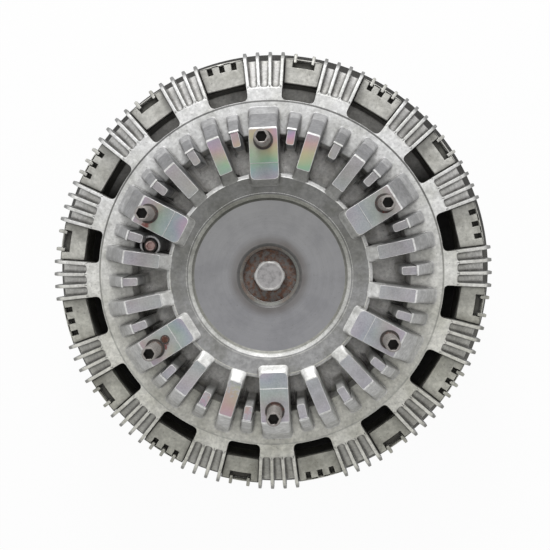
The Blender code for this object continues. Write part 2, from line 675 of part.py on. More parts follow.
def make_sheave_bearings():
    """Two sealed bearings on the journal, the spacer between them and what holds them."""
    bore = JOURNAL_RADIUS + SEAT
    race, outer = BEARING_RACE_RADIUS, BEARING_OUTER_RADIUS
    bearing("rear_bearing", bore, race, outer, REAR_BEARING_BOTTOM, REAR_BEARING_TOP)
    bearing("front_bearing", bore, race, outer, FRONT_BEARING_BOTTOM, FRONT_BEARING_TOP)
    ring("bearing_spacer", bore, race - 2 * RUNNING, SPACER_BOTTOM, SPACER_TOP, STEEL)
    thread = JOURNAL_THREAD_RADIUS + SEAT
    ring("lock_washer", thread, LOCK_NUT_RADIUS, LOCK_WASHER_BOTTOM, LOCK_WASHER_TOP, ZINC)
    nut = ring("lock_nut", thread, LOCK_NUT_RADIUS, LOCK_NUT_BOTTOM, LOCK_NUT_TOP, STEEL)
    slot = block((2 * LOCK_NUT_SLOT_DEPTH, LOCK_NUT_SLOT_WIDTH, 2 * LOCK_NUT_THICKNESS),
                 (LOCK_NUT_RADIUS, 0, LOCK_NUT_TOP))
    cut(nut, gathered("nut_slots", around(slot, evenly(LOCK_NUT_SLOTS))))
    groove = BEARING_OUTER_RADIUS + SEAT + CIRCLIP_DEPTH
    clip = ring("bearing_circlip", BOSS_RADIUS + RUNNING, groove - SEAT, CIRCLIP_BOTTOM, CIRCLIP_TOP, STEEL)
    opening = block((groove, CIRCLIP_OPENING, 4 * CIRCLIP_THICKNESS), (groove, 0, CIRCLIP_BOTTOM))
    cut(clip, place("circlip_opening", opening))
    ring("dust_seal", BOSS_RADIUS + RUNNING, BEARING_OUTER_RADIUS, DUST_SEAL_BOTTOM, DUST_SEAL_TOP, RUBBER)
    ring("air_seal", SHAFT_AIR_BORE_RADIUS, SEAL_RADIUS, SEAL_BOTTOM, SEAL_TOP, BRASS)


def groove_band():
    """The belt grooves down the sheave's rim."""
    points, height = [], WEB_BOTTOM - GROOVE_LAND
    for _ in range(GROOVE_COUNT):
        points += [(RIM_RADIUS, height), (RIM_RADIUS - GROOVE_DEPTH, height - GROOVE_PITCH / 2)]
        height -= GROOVE_PITCH
    return points + [(RIM_RADIUS, height)]


def make_sheave():
    """The belt sheave, its web and the drum round the piston are one casting."""
    bore = BEARING_OUTER_RADIUS + SEAT
    lip = LOCK_NUT_RADIUS + NUT_CLEARANCE
    outline = [(lip, WEB_TOP), (DRUM_INNER_RADIUS, WEB_TOP),
               (DRUM_INNER_RADIUS, DRUM_TOP), (DRUM_RADIUS, DRUM_TOP),
               (DRUM_RADIUS, MAGNET_FLANGE_TOP), (EDDY_OUTER_RADIUS, MAGNET_FLANGE_TOP),
               (EDDY_OUTER_RADIUS, MAGNET_FLANGE_BOTTOM), (DRUM_RADIUS, MAGNET_FLANGE_BOTTOM),
               (DRUM_RADIUS, WEB_BOTTOM), (RIM_RADIUS, WEB_BOTTOM), *groove_band(),
               (RIM_RADIUS, RIM_BACK), (RIM_INNER_RADIUS, RIM_BACK), (RIM_INNER_RADIUS, WEB_BOTTOM),
               (HUB_RADIUS, WEB_BOTTOM), (HUB_RADIUS, DUST_SEAL_BOTTOM), (bore, DUST_SEAL_BOTTOM),
               (bore, CIRCLIP_BOTTOM - SEAT), (bore + CIRCLIP_DEPTH, CIRCLIP_BOTTOM - SEAT),
               (bore + CIRCLIP_DEPTH, REAR_BEARING_BOTTOM), (bore, REAR_BEARING_BOTTOM),
               (bore, FRONT_BEARING_TOP + SEAT), (lip, FRONT_BEARING_TOP + SEAT)]
    sheave = turned("sheave", outline, DARK_CAST, MEDIUM)
    screw_hole = plain_hole(CAP_SCREW_RADIUS + SEAT, WEB_TOP - CAP_SCREW_DEPTH - SEAT, SHAFT_FLANGE_TOP)
    drilled(sheave, "web_screw_holes", screw_hole, SHAFT_SCREW_CIRCLE, evenly(SHAFT_SCREW_COUNT))
    pin_hole = plain_hole(PIN_RADIUS + SEAT, WEB_TOP - PIN_DEPTH - SEAT, SHAFT_FLANGE_TOP)
    drilled(sheave, "web_pin_holes", pin_hole, PIN_CIRCLE, pin_angles())


def pin_angles():
    return evenly(PIN_COUNT, PIN_FIRST_ANGLE)


def make_magnet_ring():
    """A steel ring with a row of magnets bonded on, which are joined to it here."""
    inner = DRUM_RADIUS + SEAT
    low, high = MAGNET_PLATE_BOTTOM, MAGNET_PLATE_TOP
    magnets = ring("magnet_ring", inner, EDDY_OUTER_RADIUS, low, high, MAGNET, MEDIUM)
    height = MAGNET_TOP - MAGNET_PLATE_BOTTOM - RIB_EMBED
    magnet = block((EDDY_WIDTH - 2 * MAGNET_INSET, MAGNET_WIDTH, height),
                   (EDDY_INNER_RADIUS + EDDY_WIDTH / 2, 0, MAGNET_TOP - height / 2))
    join(magnets, gathered("magnets", around(magnet, evenly(MAGNET_COUNT))))


def make_stub_shaft():
    """The shaft on the sheave's web that carries the piston and the fan's bearing."""
    outline = [(0, SHAFT_TOP), (NOSE_RADIUS, SHAFT_TOP), (NOSE_RADIUS, SHAFT_SHOULDER),
               (SHAFT_RADIUS, SHAFT_SHOULDER), (SHAFT_RADIUS, SHAFT_FLANGE_TOP),
               (SHAFT_FLANGE_RADIUS, SHAFT_FLANGE_TOP), (SHAFT_FLANGE_RADIUS, SHAFT_BOTTOM),
               (0, SHAFT_BOTTOM)]
    shaft = turned("stub_shaft", outline, STEEL)
    bolt_end = BOLT_HEAD_BOTTOM - CENTRE_BOLT_LENGTH
    bolt_hole = plain_hole(CENTRE_BOLT_RADIUS + SEAT, bolt_end - SEAT, WASHER_TOP)
    cut(shaft, turned("bolt_hole", bolt_hole, None, SMALL))
    air_bore = plain_hole(SHAFT_AIR_BORE_RADIUS, SEAL_BOTTOM, AIR_PORT_HEIGHT + SHAFT_AIR_BORE_RADIUS)
    cut(shaft, turned("shaft_air_bore", air_bore, None, SMALL))
    cross_bore = plain_hole(SHAFT_AIR_BORE_RADIUS, -2 * SHAFT_RADIUS, 2 * SHAFT_RADIUS)
    port = turned("air_port", cross_bore, None, SMALL)
    port.rotation_euler = (0, math.radians(90), 0)
    port.location = (0, 0, AIR_PORT_HEIGHT)
    cut(shaft, port)
    end = WEB_TOP - CAP_SCREW_DEPTH
    screw_hole = plain_hole(CAP_SCREW_RADIUS + SEAT, end, PISTON_BOTTOM)
    drilled(shaft, "flange_screw_holes", screw_hole, SHAFT_SCREW_CIRCLE, evenly(SHAFT_SCREW_COUNT))
    head = SHAFT_FLANGE_TOP + SEAT
    head_top = head + CAP_SCREW_HEAD_HEIGHT
    screw = [(0, head_top), (CAP_SCREW_HEAD_RADIUS, head_top), (CAP_SCREW_HEAD_RADIUS, head),
             (CAP_SCREW_RADIUS, head), (CAP_SCREW_RADIUS, end), (0, end)]
    for i, angle in enumerate(evenly(SHAFT_SCREW_COUNT), 1):
        standing(f"shaft_screw_{i}", screw, SHAFT_SCREW_CIRCLE, angle, STEEL)


def make_spring():
    """One coil spring round the shaft, which lifts the piston."""
    low, high = SPRING_BOTTOM + SPRING_WIRE_RADIUS, SPRING_TOP - SPRING_WIRE_RADIUS
    count = int(SPRING_TURNS * SPRING_POINTS_A_TURN) + 1
    curve = bpy.data.curves.new("spring", "CURVE")
    curve.dimensions = "3D"
    curve.bevel_depth = SPRING_WIRE_RADIUS
    curve.bevel_resolution = 1
    curve.use_fill_caps = True
    spline = curve.splines.new("POLY")
    spline.points.add(count - 1)
    for i, point in enumerate(spline.points):
        share = i / (count - 1)
        a = 2 * math.pi * SPRING_TURNS * share
        point.co = (SPRING_RADIUS * math.cos(a), SPRING_RADIUS * math.sin(a), low + (high - low) * share, 1)
    place("piston_spring", realised(place("spring_wire", curve)), STEEL)


def make_piston():
    """The piston, its lining and its inner seal, with three pins that keep it from turning."""
    cup_top = PISTON_TOP + CUP_HEIGHT
    bore = SHAFT_RADIUS + 2 * SEAT
    middle = (PISTON_BOTTOM + PISTON_TOP) / 2
    seal_high, seal_low = middle + SHAFT_SEAL_WIDTH / 2, middle - SHAFT_SEAL_WIDTH / 2
    outline = [(bore, PISTON_TOP), (CUP_INNER_RADIUS, PISTON_TOP), (CUP_INNER_RADIUS, cup_top),
               (CUP_OUTER_RADIUS, cup_top), (CUP_OUTER_RADIUS, PISTON_TOP), (PISTON_RADIUS, PISTON_TOP),
               (PISTON_RADIUS, PISTON_BOTTOM), (bore, PISTON_BOTTOM),
               (bore, seal_low - SEAT), (bore + SHAFT_SEAL_DEPTH, seal_low - SEAT),
               (bore + SHAFT_SEAL_DEPTH, seal_high + SEAT), (bore, seal_high + SEAT)]
    piston = turned("piston", outline, CAST)
    pin_top = PISTON_BOTTOM + PIN_IN_PISTON
    hole_top = pin_top + PISTON_TRAVEL + RUNNING
    pin_hole = plain_hole(PIN_RADIUS + RUNNING, PISTON_BOTTOM - PIN_DEPTH, hole_top)
    drilled(piston, "piston_pin_holes", pin_hole, PIN_CIRCLE, pin_angles())
    pin = plain_hole(PIN_RADIUS, WEB_TOP - PIN_DEPTH, pin_top)
    for i, angle in enumerate(pin_angles(), 1):
        standing(f"drive_pin_{i}", pin, PIN_CIRCLE, angle, STEEL)
    ring("shaft_seal", SHAFT_RADIUS + SEAT, bore + SHAFT_SEAL_DEPTH - SEAT, seal_low, seal_high, RUBBER)
    liner = ring("friction_liner", LINER_INNER_RADIUS, PISTON_RADIUS, LINER_BOTTOM, LINER_TOP, LINING)
    size = (PISTON_RADIUS, LINER_GROOVE_WIDTH, 2 * LINER_GROOVE_DEPTH)
    groove = block(size, (PISTON_RADIUS, 0, LINER_TOP))
    cut(liner, gathered("liner_grooves", around(groove, evenly(LINER_GROOVES))))


def make_air_cap():
    """The fixed cap in the piston's cup, which air pushes the piston away from."""
    bore = NOSE_RADIUS + SEAT
    middle = (CAP_BOTTOM + CAP_TOP) / 2
    high, low = middle + CAP_SEAL_WIDTH / 2, middle - CAP_SEAL_WIDTH / 2
    floor = CAP_RADIUS - CAP_SEAL_DEPTH
    outline = [(bore, CAP_TOP), (CAP_RADIUS, CAP_TOP), (CAP_RADIUS, high + SEAT), (floor, high + SEAT),
               (floor, low - SEAT), (CAP_RADIUS, low - SEAT), (CAP_RADIUS, CAP_BOTTOM), (bore, CAP_BOTTOM)]
    turned("air_chamber_cap", outline, CAST)
    ring("cap_seal", floor + SEAT, CUP_INNER_RADIUS - SEAT, low, high, RUBBER)


def make_fan_bearing():
    """The bearing that the fan disc turns on, and the bolt and washer that clamp it."""
    bore = NOSE_RADIUS + SEAT
    bottom, top = FAN_BEARING_BOTTOM, FAN_BEARING_TOP
    bearing("fan_bearing", bore, FAN_RACE_RADIUS, FAN_BEARING_RADIUS, bottom, top)
    ring("fan_spacer", bore, SHAFT_RADIUS, FAN_SPACER_BOTTOM, FAN_SPACER_TOP, STEEL)
    ring("clamp_washer", CENTRE_BOLT_RADIUS + SEAT, CLAMP_WASHER_RADIUS, WASHER_BOTTOM, WASHER_TOP, RUST)
    head, head_top = BOLT_HEAD_BOTTOM, BOLT_HEAD_TOP
    corner = CENTRE_BOLT_FLATS / math.sqrt(3)
    bolt = place("centre_bolt", prism(corner, head, head_top, 6), ZINC)
    crown = [(0, head_top), (CENTRE_BOLT_FLATS / 2, head_top),
             (corner + CENTRE_BOLT_CHAMFER, head_top - 2 * CENTRE_BOLT_CHAMFER),
             (corner + CENTRE_BOLT_CHAMFER, head), (0, head)]
    combine(bolt, turned("bolt_crown", crown), "INTERSECT")
    shank = plain_hole(CENTRE_BOLT_RADIUS, head - CENTRE_BOLT_LENGTH, head + CENTRE_BOLT_CHAMFER)
    join(bolt, turned("bolt_shank", shank, None, SMALL))


def window_angles(wide):
    """The middles of the wide or of the narrow windows, which take turns round the rim."""
    first = -WINDOW_PITCH / 2 if wide else WINDOW_PITCH / 2
    return evenly(round(180 / WINDOW_PITCH), first)


def fin_angles():
    """Each group of fins fills the space between a wide window and a narrow one."""
    room = WINDOW_PITCH - (WIDE_WINDOW + NARROW_WINDOW) / 2
    angles = []
    for middle in window_angles(True):
        for side in (-1, 1):
            first = WIDE_WINDOW / 2
            angles += [middle + side * (first + room * i / (FINS_A_GROUP - 1)) for i in range(FINS_A_GROUP)]
    return angles


def beside_fin(width, radius, inset):
    """A point on the side of a window that is width degrees wide, inset from the fin's middle."""
    half = math.radians(width / 2)
    along, across = math.cos(half), math.sin(half)
    return Vector((radius * along + inset * across, radius * across - inset * along))


def mirrored(points):
    """The points, then their mirror images in reverse order."""
    return [tuple(p) for p in points] + [(x, -y) for x, y in reversed(points)]


def window_plan(width, steps=3):
    """Plan of a window about +X, open at the rim, with round inner corners."""
    inset = FIN_THICKNESS / 2 - WINDOW_TRIM
    far = beside_fin(width, FIN_TIP_RADIUS + RIB_EMBED, inset)
    side = beside_fin(width, WINDOW_INNER_RADIUS + WINDOW_CORNER, inset)
    corner = beside_fin(width, WINDOW_INNER_RADIUS, inset)
    edge = math.atan2(corner.y, corner.x) - WINDOW_CORNER / WINDOW_INNER_RADIUS
    inner = Vector((WINDOW_INNER_RADIUS * math.cos(edge), WINDOW_INNER_RADIUS * math.sin(edge)))
    shares = [i / steps for i in range(steps + 1)]
    return mirrored([far, *(side.lerp(corner, t).lerp(corner.lerp(inner, t), t) for t in shares)])


def island_plan(width):
    """Plan of the raised panel of the rear ring that fills a window's outer part."""
    inset = FIN_THICKNESS / 2 - WINDOW_TRIM + SEAT
    inner, outer = RING_INNER_RADIUS + SEAT, DISC_RADIUS - SEAT
    low, high = beside_fin(width, inner, inset), beside_fin(width, outer, inset)
    low_angle, high_angle = (math.degrees(math.atan2(p.y, p.x)) for p in (low, high))
    return arc(outer, -high_angle, high_angle, 2) + arc(inner, low_angle, -low_angle, 2)


def fin_outline():
    """Side of a long fin, from its root in the flange to its rounded tip."""
    top = VALLEY_TOP - FIN_SUNK
    shoulder = top - FIN_SHOULDER_DROP
    tip = top - FIN_TIP_DROP
    low = (VALLEY_TOP + FLANGE_UNDERSIDE) / 2
    heel = (DISC_RADIUS - RIB_EMBED / 2, (RIM_TOP + RIM_UNDERSIDE) / 2)
    root = VALLEY_RADIUS - FIN_ROOT
    return [(root, top), (FIN_TIP_RADIUS - FIN_NOSE, shoulder), (FIN_TIP_RADIUS, tip),
            (FIN_TIP_RADIUS, tip - FIN_TIP_HEIGHT), heel, (root, low)]


def make_fan_disc():
    """The finned casting that the fan bolts to, with its pads, ribs, windows and fins."""
    bore = FAN_BEARING_RADIUS + SEAT
    annulus = INNER_DISC + HUB_STEP
    ceiling = HUB_CEILING + WASHER_POCKET_DEPTH
    outline = [(CENTRE_HOLE_RADIUS + CENTRE_CHAMFER, INNER_DISC), (INNER_DISC_RADIUS, INNER_DISC),
               (HUB_STEP_RADIUS, annulus), (DISC_HUB_RADIUS, annulus),
               (DISC_HUB_RADIUS + DRAFT, POCKET_FLOOR), (POCKET_OUTER_RADIUS - DRAFT, POCKET_FLOOR),
               (POCKET_OUTER_RADIUS, FLANGE), (STEP_RADIUS, FLANGE),
               (STEP_RADIUS + FLANGE_STEP, VALLEY_TOP),
               (VALLEY_RADIUS, VALLEY_TOP), (VALLEY_RADIUS + DRAFT, VALLEY_TOP - VALLEY_STEP),
               (DISC_RADIUS, RIM_TOP), (DISC_RADIUS, RIM_UNDERSIDE),
               (VALLEY_RADIUS, VALLEY_UNDERSIDE), (FLANGE_KNEE_RADIUS, FLANGE_UNDERSIDE),
               (FRICTION_FACE_RADIUS + SKIRT_DRAFT, FLANGE_UNDERSIDE),
               (FRICTION_FACE_RADIUS, FRICTION_FACE), (PISTON_RECESS_RADIUS, FRICTION_FACE),
               (PISTON_RECESS_RADIUS, HUB_CEILING), (BEARING_BOSS_RADIUS, HUB_CEILING),
               (BEARING_BOSS_RADIUS, FAN_BEARING_BOTTOM), (bore, FAN_BEARING_BOTTOM), (bore, HUB_CEILING),
               (WASHER_POCKET_RADIUS, HUB_CEILING), (WASHER_POCKET_RADIUS, ceiling),
               (CENTRE_HOLE_RADIUS, ceiling), (CENTRE_HOLE_RADIUS, INNER_DISC - CENTRE_CHAMFER)]
    disc = turned("fan_disc", outline, CAST, FINE)
    join(disc, make_uprights())
    join(disc, gathered("fins", around(upright(fin_outline(), FIN_THICKNESS), fin_angles())))
    bottom, top = EDDY_TOP, FLANGE + RIB_EMBED
    windows = [copy for wide, width in ((True, WIDE_WINDOW), (False, NARROW_WINDOW))
               for copy in around(plate(window_plan(width), bottom, top), window_angles(wide))]
    cut(disc, gathered("windows", windows))
    hole_radius = STUD_RADIUS + SEAT
    counterbore = hole_radius + STUD_COUNTERBORE
    step = PADS - STUD_COUNTERBORE_DEPTH
    hole = [(0, PADS + DRAFT), (counterbore, PADS + DRAFT), (counterbore, step), (hole_radius, step),
            (hole_radius, PADS - STUD_DEPTH - SEAT), (0, PADS - STUD_DEPTH - SEAT)]
    drilled(disc, "stud_holes", hole, STUD_CIRCLE, evenly(PAD_COUNT))
    drilled(disc, "eddy_screw_threads", eddy_screw_outline(SEAT, DRAFT), LUG_SCREW_CIRCLE, lug_angles())
    dowel_hole = plain_hole(DOWEL_RADIUS + SEAT, PADS - DOWEL_DEPTH - SEAT, PADS + DRAFT)
    drilled(disc, "dowel_hole", dowel_hole, STUD_CIRCLE - DOWEL_INSET, [DOWEL_ANGLE])
    screw_hole = lock_screw_outline(SEAT, LOCK_BORE_CLEARANCE, DRAFT)
    drilled(disc, "lock_screw_hole", screw_hole, LOCK_SCREW_CIRCLE, [LOCK_SCREW_ANGLE])


def make_uprights():
    """The six stud pads and the ribs between them, cut to one cone at their outer ends and
    to the pocket's wall below the flange."""
    foot = POCKET_FLOOR - RIB_EMBED
    outer = PAD_FOOT_RADIUS + DRAFT
    pad = plate(round_ended(PAD_INNER_RADIUS, outer, PAD_WIDTH, 6), foot, PADS)
    long_rib = plate(round_ended(LONG_RIB_INNER_RADIUS, outer, LONG_RIB_WIDTH, 4), foot, PADS)
    short_plan = round_ended(SHORT_RIB_INNER_RADIUS, outer, SHORT_RIB_WIDTH, 3)
    short_rib = plate(short_plan, foot, PADS - SHORT_RIB_DROP)
    boss = prism(LOCK_BOSS_RADIUS, foot, PADS - LOCK_BOSS_BELOW_PADS, SMALL, (LOCK_SCREW_CIRCLE, 0))
    middles = evenly(PAD_COUNT, 180 / PAD_COUNT)
    above, below = PADS + RIB_EMBED, FLANGE - RIB_EMBED
    pads = gathered("pads", around(pad, evenly(PAD_COUNT)))
    relief = (PAD_INNER_RADIUS - RIB_EMBED, PAD_RELIEF_RADIUS, PADS - PAD_RELIEF, above)
    cut(pads, ring("pad_relief", *relief, None, FINE))
    copies = [(realised(pads), Matrix())]
    copies += around(long_rib, [m + side * LONG_RIB_ANGLE for m in middles for side in (-1, 1)])
    copies += around(short_rib, [m + offset for m in middles for offset in SHORT_RIB_ANGLES])
    uprights = gathered("uprights", copies)
    join(uprights, gathered("lock_screw_boss", around(boss, [LOCK_SCREW_ANGLE])))
    slope = (PAD_FOOT_RADIUS - PAD_EDGE_RADIUS) / (PADS - FLANGE)
    far, wall = PAD_FOOT_RADIUS + 2 * RIB_EMBED, POCKET_OUTER_RADIUS + RIB_EMBED
    cone = [(PAD_EDGE_RADIUS - slope * RIB_EMBED, above), (far, above), (far, foot - RIB_EMBED),
            (wall, foot - RIB_EMBED), (wall, below), (PAD_FOOT_RADIUS + slope * RIB_EMBED, below)]
    cut(uprights, turned("pad_cone", cone, None, FINE))
    return uprights


def make_studs():
    """Six studs with a hexagon socket in the end, a dowel in one pad and the lock-up screw."""
    top = PADS + STUD_HEIGHT
    outline = [(0, top), (STUD_RADIUS - STUD_CHAMFER, top), (STUD_RADIUS, top - STUD_CHAMFER),
               (STUD_RADIUS, PADS - STUD_DEPTH), (0, PADS - STUD_DEPTH)]
    corner = STUD_SOCKET_FLATS / math.sqrt(3)
    for i, angle in enumerate(evenly(PAD_COUNT), 1):
        stud = standing(f"fan_stud_{i}", outline, STUD_CIRCLE, angle, RUST)
        centre = at_angle(STUD_CIRCLE, angle)
        socket = prism(corner, top - STUD_SOCKET_DEPTH, top + STUD_CHAMFER, 6, centre)
        cut(stud, place(f"stud_socket_{i}", socket))
    dowel = plain_hole(DOWEL_RADIUS, PADS - DOWEL_DEPTH, PADS - SEAT)
    standing("locating_dowel", dowel, STUD_CIRCLE - DOWEL_INSET, DOWEL_ANGLE, RUST)
    outline = lock_screw_outline(0, 0, 0)
    screw = standing("lock_up_screw", outline, LOCK_SCREW_CIRCLE, LOCK_SCREW_ANGLE, ZINC)
    head = PADS - LOCK_BOSS_BELOW_PADS
    centre = at_angle(LOCK_SCREW_CIRCLE, LOCK_SCREW_ANGLE)
    socket = prism(corner, head - LOCK_SCREW_HEAD_HEIGHT / 2, head + DRAFT, 6, centre)
    cut(screw, place("lock_screw_socket", socket))


def lock_screw_outline(gap, head_gap, overshoot):
    """The lock-up screw, or with gaps and an overshoot the hole for it, sunk in its boss."""
    top = PADS - LOCK_BOSS_BELOW_PADS
    head = top - LOCK_SCREW_HEAD_HEIGHT - gap
    wide, narrow = LOCK_SCREW_HEAD_RADIUS + head_gap, LOCK_SCREW_RADIUS + gap
    bottom = head - LOCK_SCREW_DEPTH
    return [(0, top + overshoot), (wide, top + overshoot), (wide, head), (narrow, head),
            (narrow, bottom), (0, bottom)]


def lug_angles():
    """The middles of the fin groups that have a lug of the rear ring under them."""
    middle = (WIDE_WINDOW - NARROW_WINDOW) / 4
    return evenly(LUG_COUNT, middle)


def valley_underside(radius):
    """Height of the disc's underside below its fins."""
    share = (radius - VALLEY_RADIUS) / (DISC_RADIUS - VALLEY_RADIUS)
    return VALLEY_UNDERSIDE + share * (RIM_UNDERSIDE - VALLEY_UNDERSIDE)


def eddy_screw_outline(gap, overshoot):
    """A countersunk screw up through the eddy ring and a lug, or with a gap the hole for it."""
    top = FLANGE_UNDERSIDE + LUG_SCREW_DEPTH + gap
    neck = EDDY_BOTTOM + LUG_SCREW_HEAD_RADIUS - LUG_SCREW_RADIUS
    head = LUG_SCREW_HEAD_RADIUS + gap
    mouth = EDDY_BOTTOM + SEAT
    return [(0, top), (LUG_SCREW_RADIUS + gap, top), (LUG_SCREW_RADIUS + gap, neck),
            (head, mouth), (head, mouth - SEAT - overshoot), (0, mouth - SEAT - overshoot)]


def make_rear_ring():
    """The rear ring: raised panels that show in the windows, a flared skirt and the lugs."""
    bottom = PADS - SKIRT_BOTTOM_BELOW_PADS
    outline = [(RING_INNER_RADIUS, valley_underside(RING_INNER_RADIUS) - SEAT),
               (DISC_RADIUS, RIM_UNDERSIDE - SEAT),
               (SKIRT_RADIUS, bottom), (SKIRT_RADIUS - SKIRT_WALL, bottom),
               (DISC_RADIUS - SKIRT_WALL, RING_BOTTOM), (RING_INNER_RADIUS, RING_BOTTOM)]
    rear = turned("rear_ring", outline, CAST, FINE)
    low = RING_BOTTOM + RIB_EMBED
    islands = [copy for wide, width in ((True, WIDE_WINDOW), (False, NARROW_WINDOW))
               for copy in around(plate(island_plan(width), low, ISLAND_TOP), window_angles(wide))]
    join(rear, gathered("islands", islands))
    outer = RING_INNER_RADIUS + RIB_EMBED
    knee, flat = FLANGE_KNEE_RADIUS - LUG_CLEARANCE, FLANGE_UNDERSIDE - SEAT
    bottom = RING_BOTTOM + SEAT
    lug = [(LUG_INNER_RADIUS, bottom), (LUG_INNER_RADIUS, flat), (knee, flat),
           (VALLEY_RADIUS, VALLEY_UNDERSIDE - LUG_CLEARANCE),
           (outer, valley_underside(outer) - LUG_CLEARANCE), (outer, bottom)]
    join(rear, gathered("lugs", around(upright(lug, LUG_WIDTH), lug_angles())))
    root = SLOT_INNER_RADIUS + RIB_EMBED
    stub = [(root, ISLAND_TOP + STUB_PROUD), (STUB_TIP_RADIUS, ISLAND_TOP - STUB_PROUD),
            (STUB_TIP_RADIUS, ISLAND_TOP - STUB_DROP), (root, ISLAND_TOP - STUB_DROP)]
    join(rear, gathered("stubs", around(upright(stub, FIN_THICKNESS), stub_angles())))
    cut(rear, gathered("panel_slots", panel_slots()))
    drilled(rear, "lug_screw_holes", eddy_screw_outline(SEAT, DRAFT), LUG_SCREW_CIRCLE, lug_angles())


def stub_angles():
    """Two short fins on each narrow window's panel, and three on every second wide one's."""
    step = WIDE_WINDOW / FINS_A_GROUP
    pairs = [middle + side * NARROW_STUB_ANGLE for middle in window_angles(False) for side in (-1, 1)]
    return pairs + [middle + i * step for middle in window_angles(True)[1::2] for i in (-1, 0, 1)]


def panel_cut(width, depth):
    """A block that cuts a panel near its outer edge."""
    return block((SLOT_LENGTH, width, 2 * depth), (SLOT_INNER_RADIUS + SLOT_LENGTH / 2, 0, ISLAND_TOP))


def panel_slots():
    """Three slots in each wide window's panel, and one broad recess in each narrow one's."""
    step = WIDE_WINDOW / FINS_A_GROUP
    angles = [middle + i * step for middle in window_angles(True) for i in (-1, 0, 1)]
    slots = around(panel_cut(SLOT_WIDTH, SLOT_DEPTH), angles)
    return slots + around(panel_cut(RECESS_WIDTH, RECESS_DEPTH), window_angles(False))


def make_eddy_ring():
    """The ring over the magnets, and the screws that hold it and the rear ring to the disc."""
    eddy = ring("eddy_ring", EDDY_INNER_RADIUS, EDDY_OUTER_RADIUS, EDDY_BOTTOM, EDDY_TOP, DARK_CAST, FINE)
    drilled(eddy, "eddy_screw_holes", eddy_screw_outline(SEAT, DRAFT), LUG_SCREW_CIRCLE, lug_angles())
    for i, angle in enumerate(lug_angles(), 1):
        standing(f"eddy_screw_{i}", eddy_screw_outline(0, 0), LUG_SCREW_CIRCLE, angle, STEEL)


def smooth_round_pieces():
    """Shades the round pieces smooth, with their sharp edges kept."""
    for thing in PIECES.objects:
        thing.data.set_sharp_from_angle(angle=math.radians(30))


make_bracket()
make_air_fitting()
make_sheave_bearings()
make_sheave()
make_magnet_ring()
make_stub_shaft()
make_spring()
make_piston()
make_air_cap()
make_fan_bearing()
make_fan_disc()
make_studs()
make_rear_ring()
make_eddy_ring()
smooth_round_pieces()
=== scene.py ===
"""The looks of an air operated fan clutch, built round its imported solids.

The clutch stands on its bracket's foot with the fan studs up. Angles run clockwise from
+Y as seen from above, lengths are metres and colours are linear.
"""

import logging
import math
from collections.abc import Callable, Iterable, Sequence
from dataclasses import dataclass, field, replace
from enum import Enum

import bmesh
import bpy
from mathutils import Matrix, Vector


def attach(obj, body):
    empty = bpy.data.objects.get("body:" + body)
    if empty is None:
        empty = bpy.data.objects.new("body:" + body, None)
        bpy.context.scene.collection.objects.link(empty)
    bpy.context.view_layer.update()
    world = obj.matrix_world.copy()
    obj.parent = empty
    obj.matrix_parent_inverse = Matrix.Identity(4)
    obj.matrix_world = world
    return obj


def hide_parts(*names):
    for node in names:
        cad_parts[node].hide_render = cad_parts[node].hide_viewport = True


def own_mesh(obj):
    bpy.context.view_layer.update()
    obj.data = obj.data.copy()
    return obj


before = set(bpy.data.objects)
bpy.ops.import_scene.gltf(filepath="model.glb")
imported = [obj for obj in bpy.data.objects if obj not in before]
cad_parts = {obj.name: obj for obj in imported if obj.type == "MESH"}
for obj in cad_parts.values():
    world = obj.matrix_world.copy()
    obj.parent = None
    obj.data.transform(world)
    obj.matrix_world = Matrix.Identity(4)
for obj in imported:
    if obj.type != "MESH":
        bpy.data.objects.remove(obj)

LOG = logging.getLogger("fan_clutch")

Colour = tuple[float, float, float]
Corner = tuple[float, float, float]
Spot = tuple[float, float, float]
Span = tuple[float, float]
Outline = list[Span]
Ring = list[Vector]
Socket = bpy.types.NodeSocket


class Body(Enum):
    """The bodies of the clutch that pieces ride on."""

    BRACKET = "bracket"
    SHEAVE = "sheave"
    FAN = "fan"


class Slot(Enum):
    """The names of the record's material slots."""

    CAST = "cast_aluminium"
    IRON = "dark_iron"
    STEEL = "machined_steel"
    ZINC = "zinc_steel"
    BROWNED = "browned_steel"


# Materials


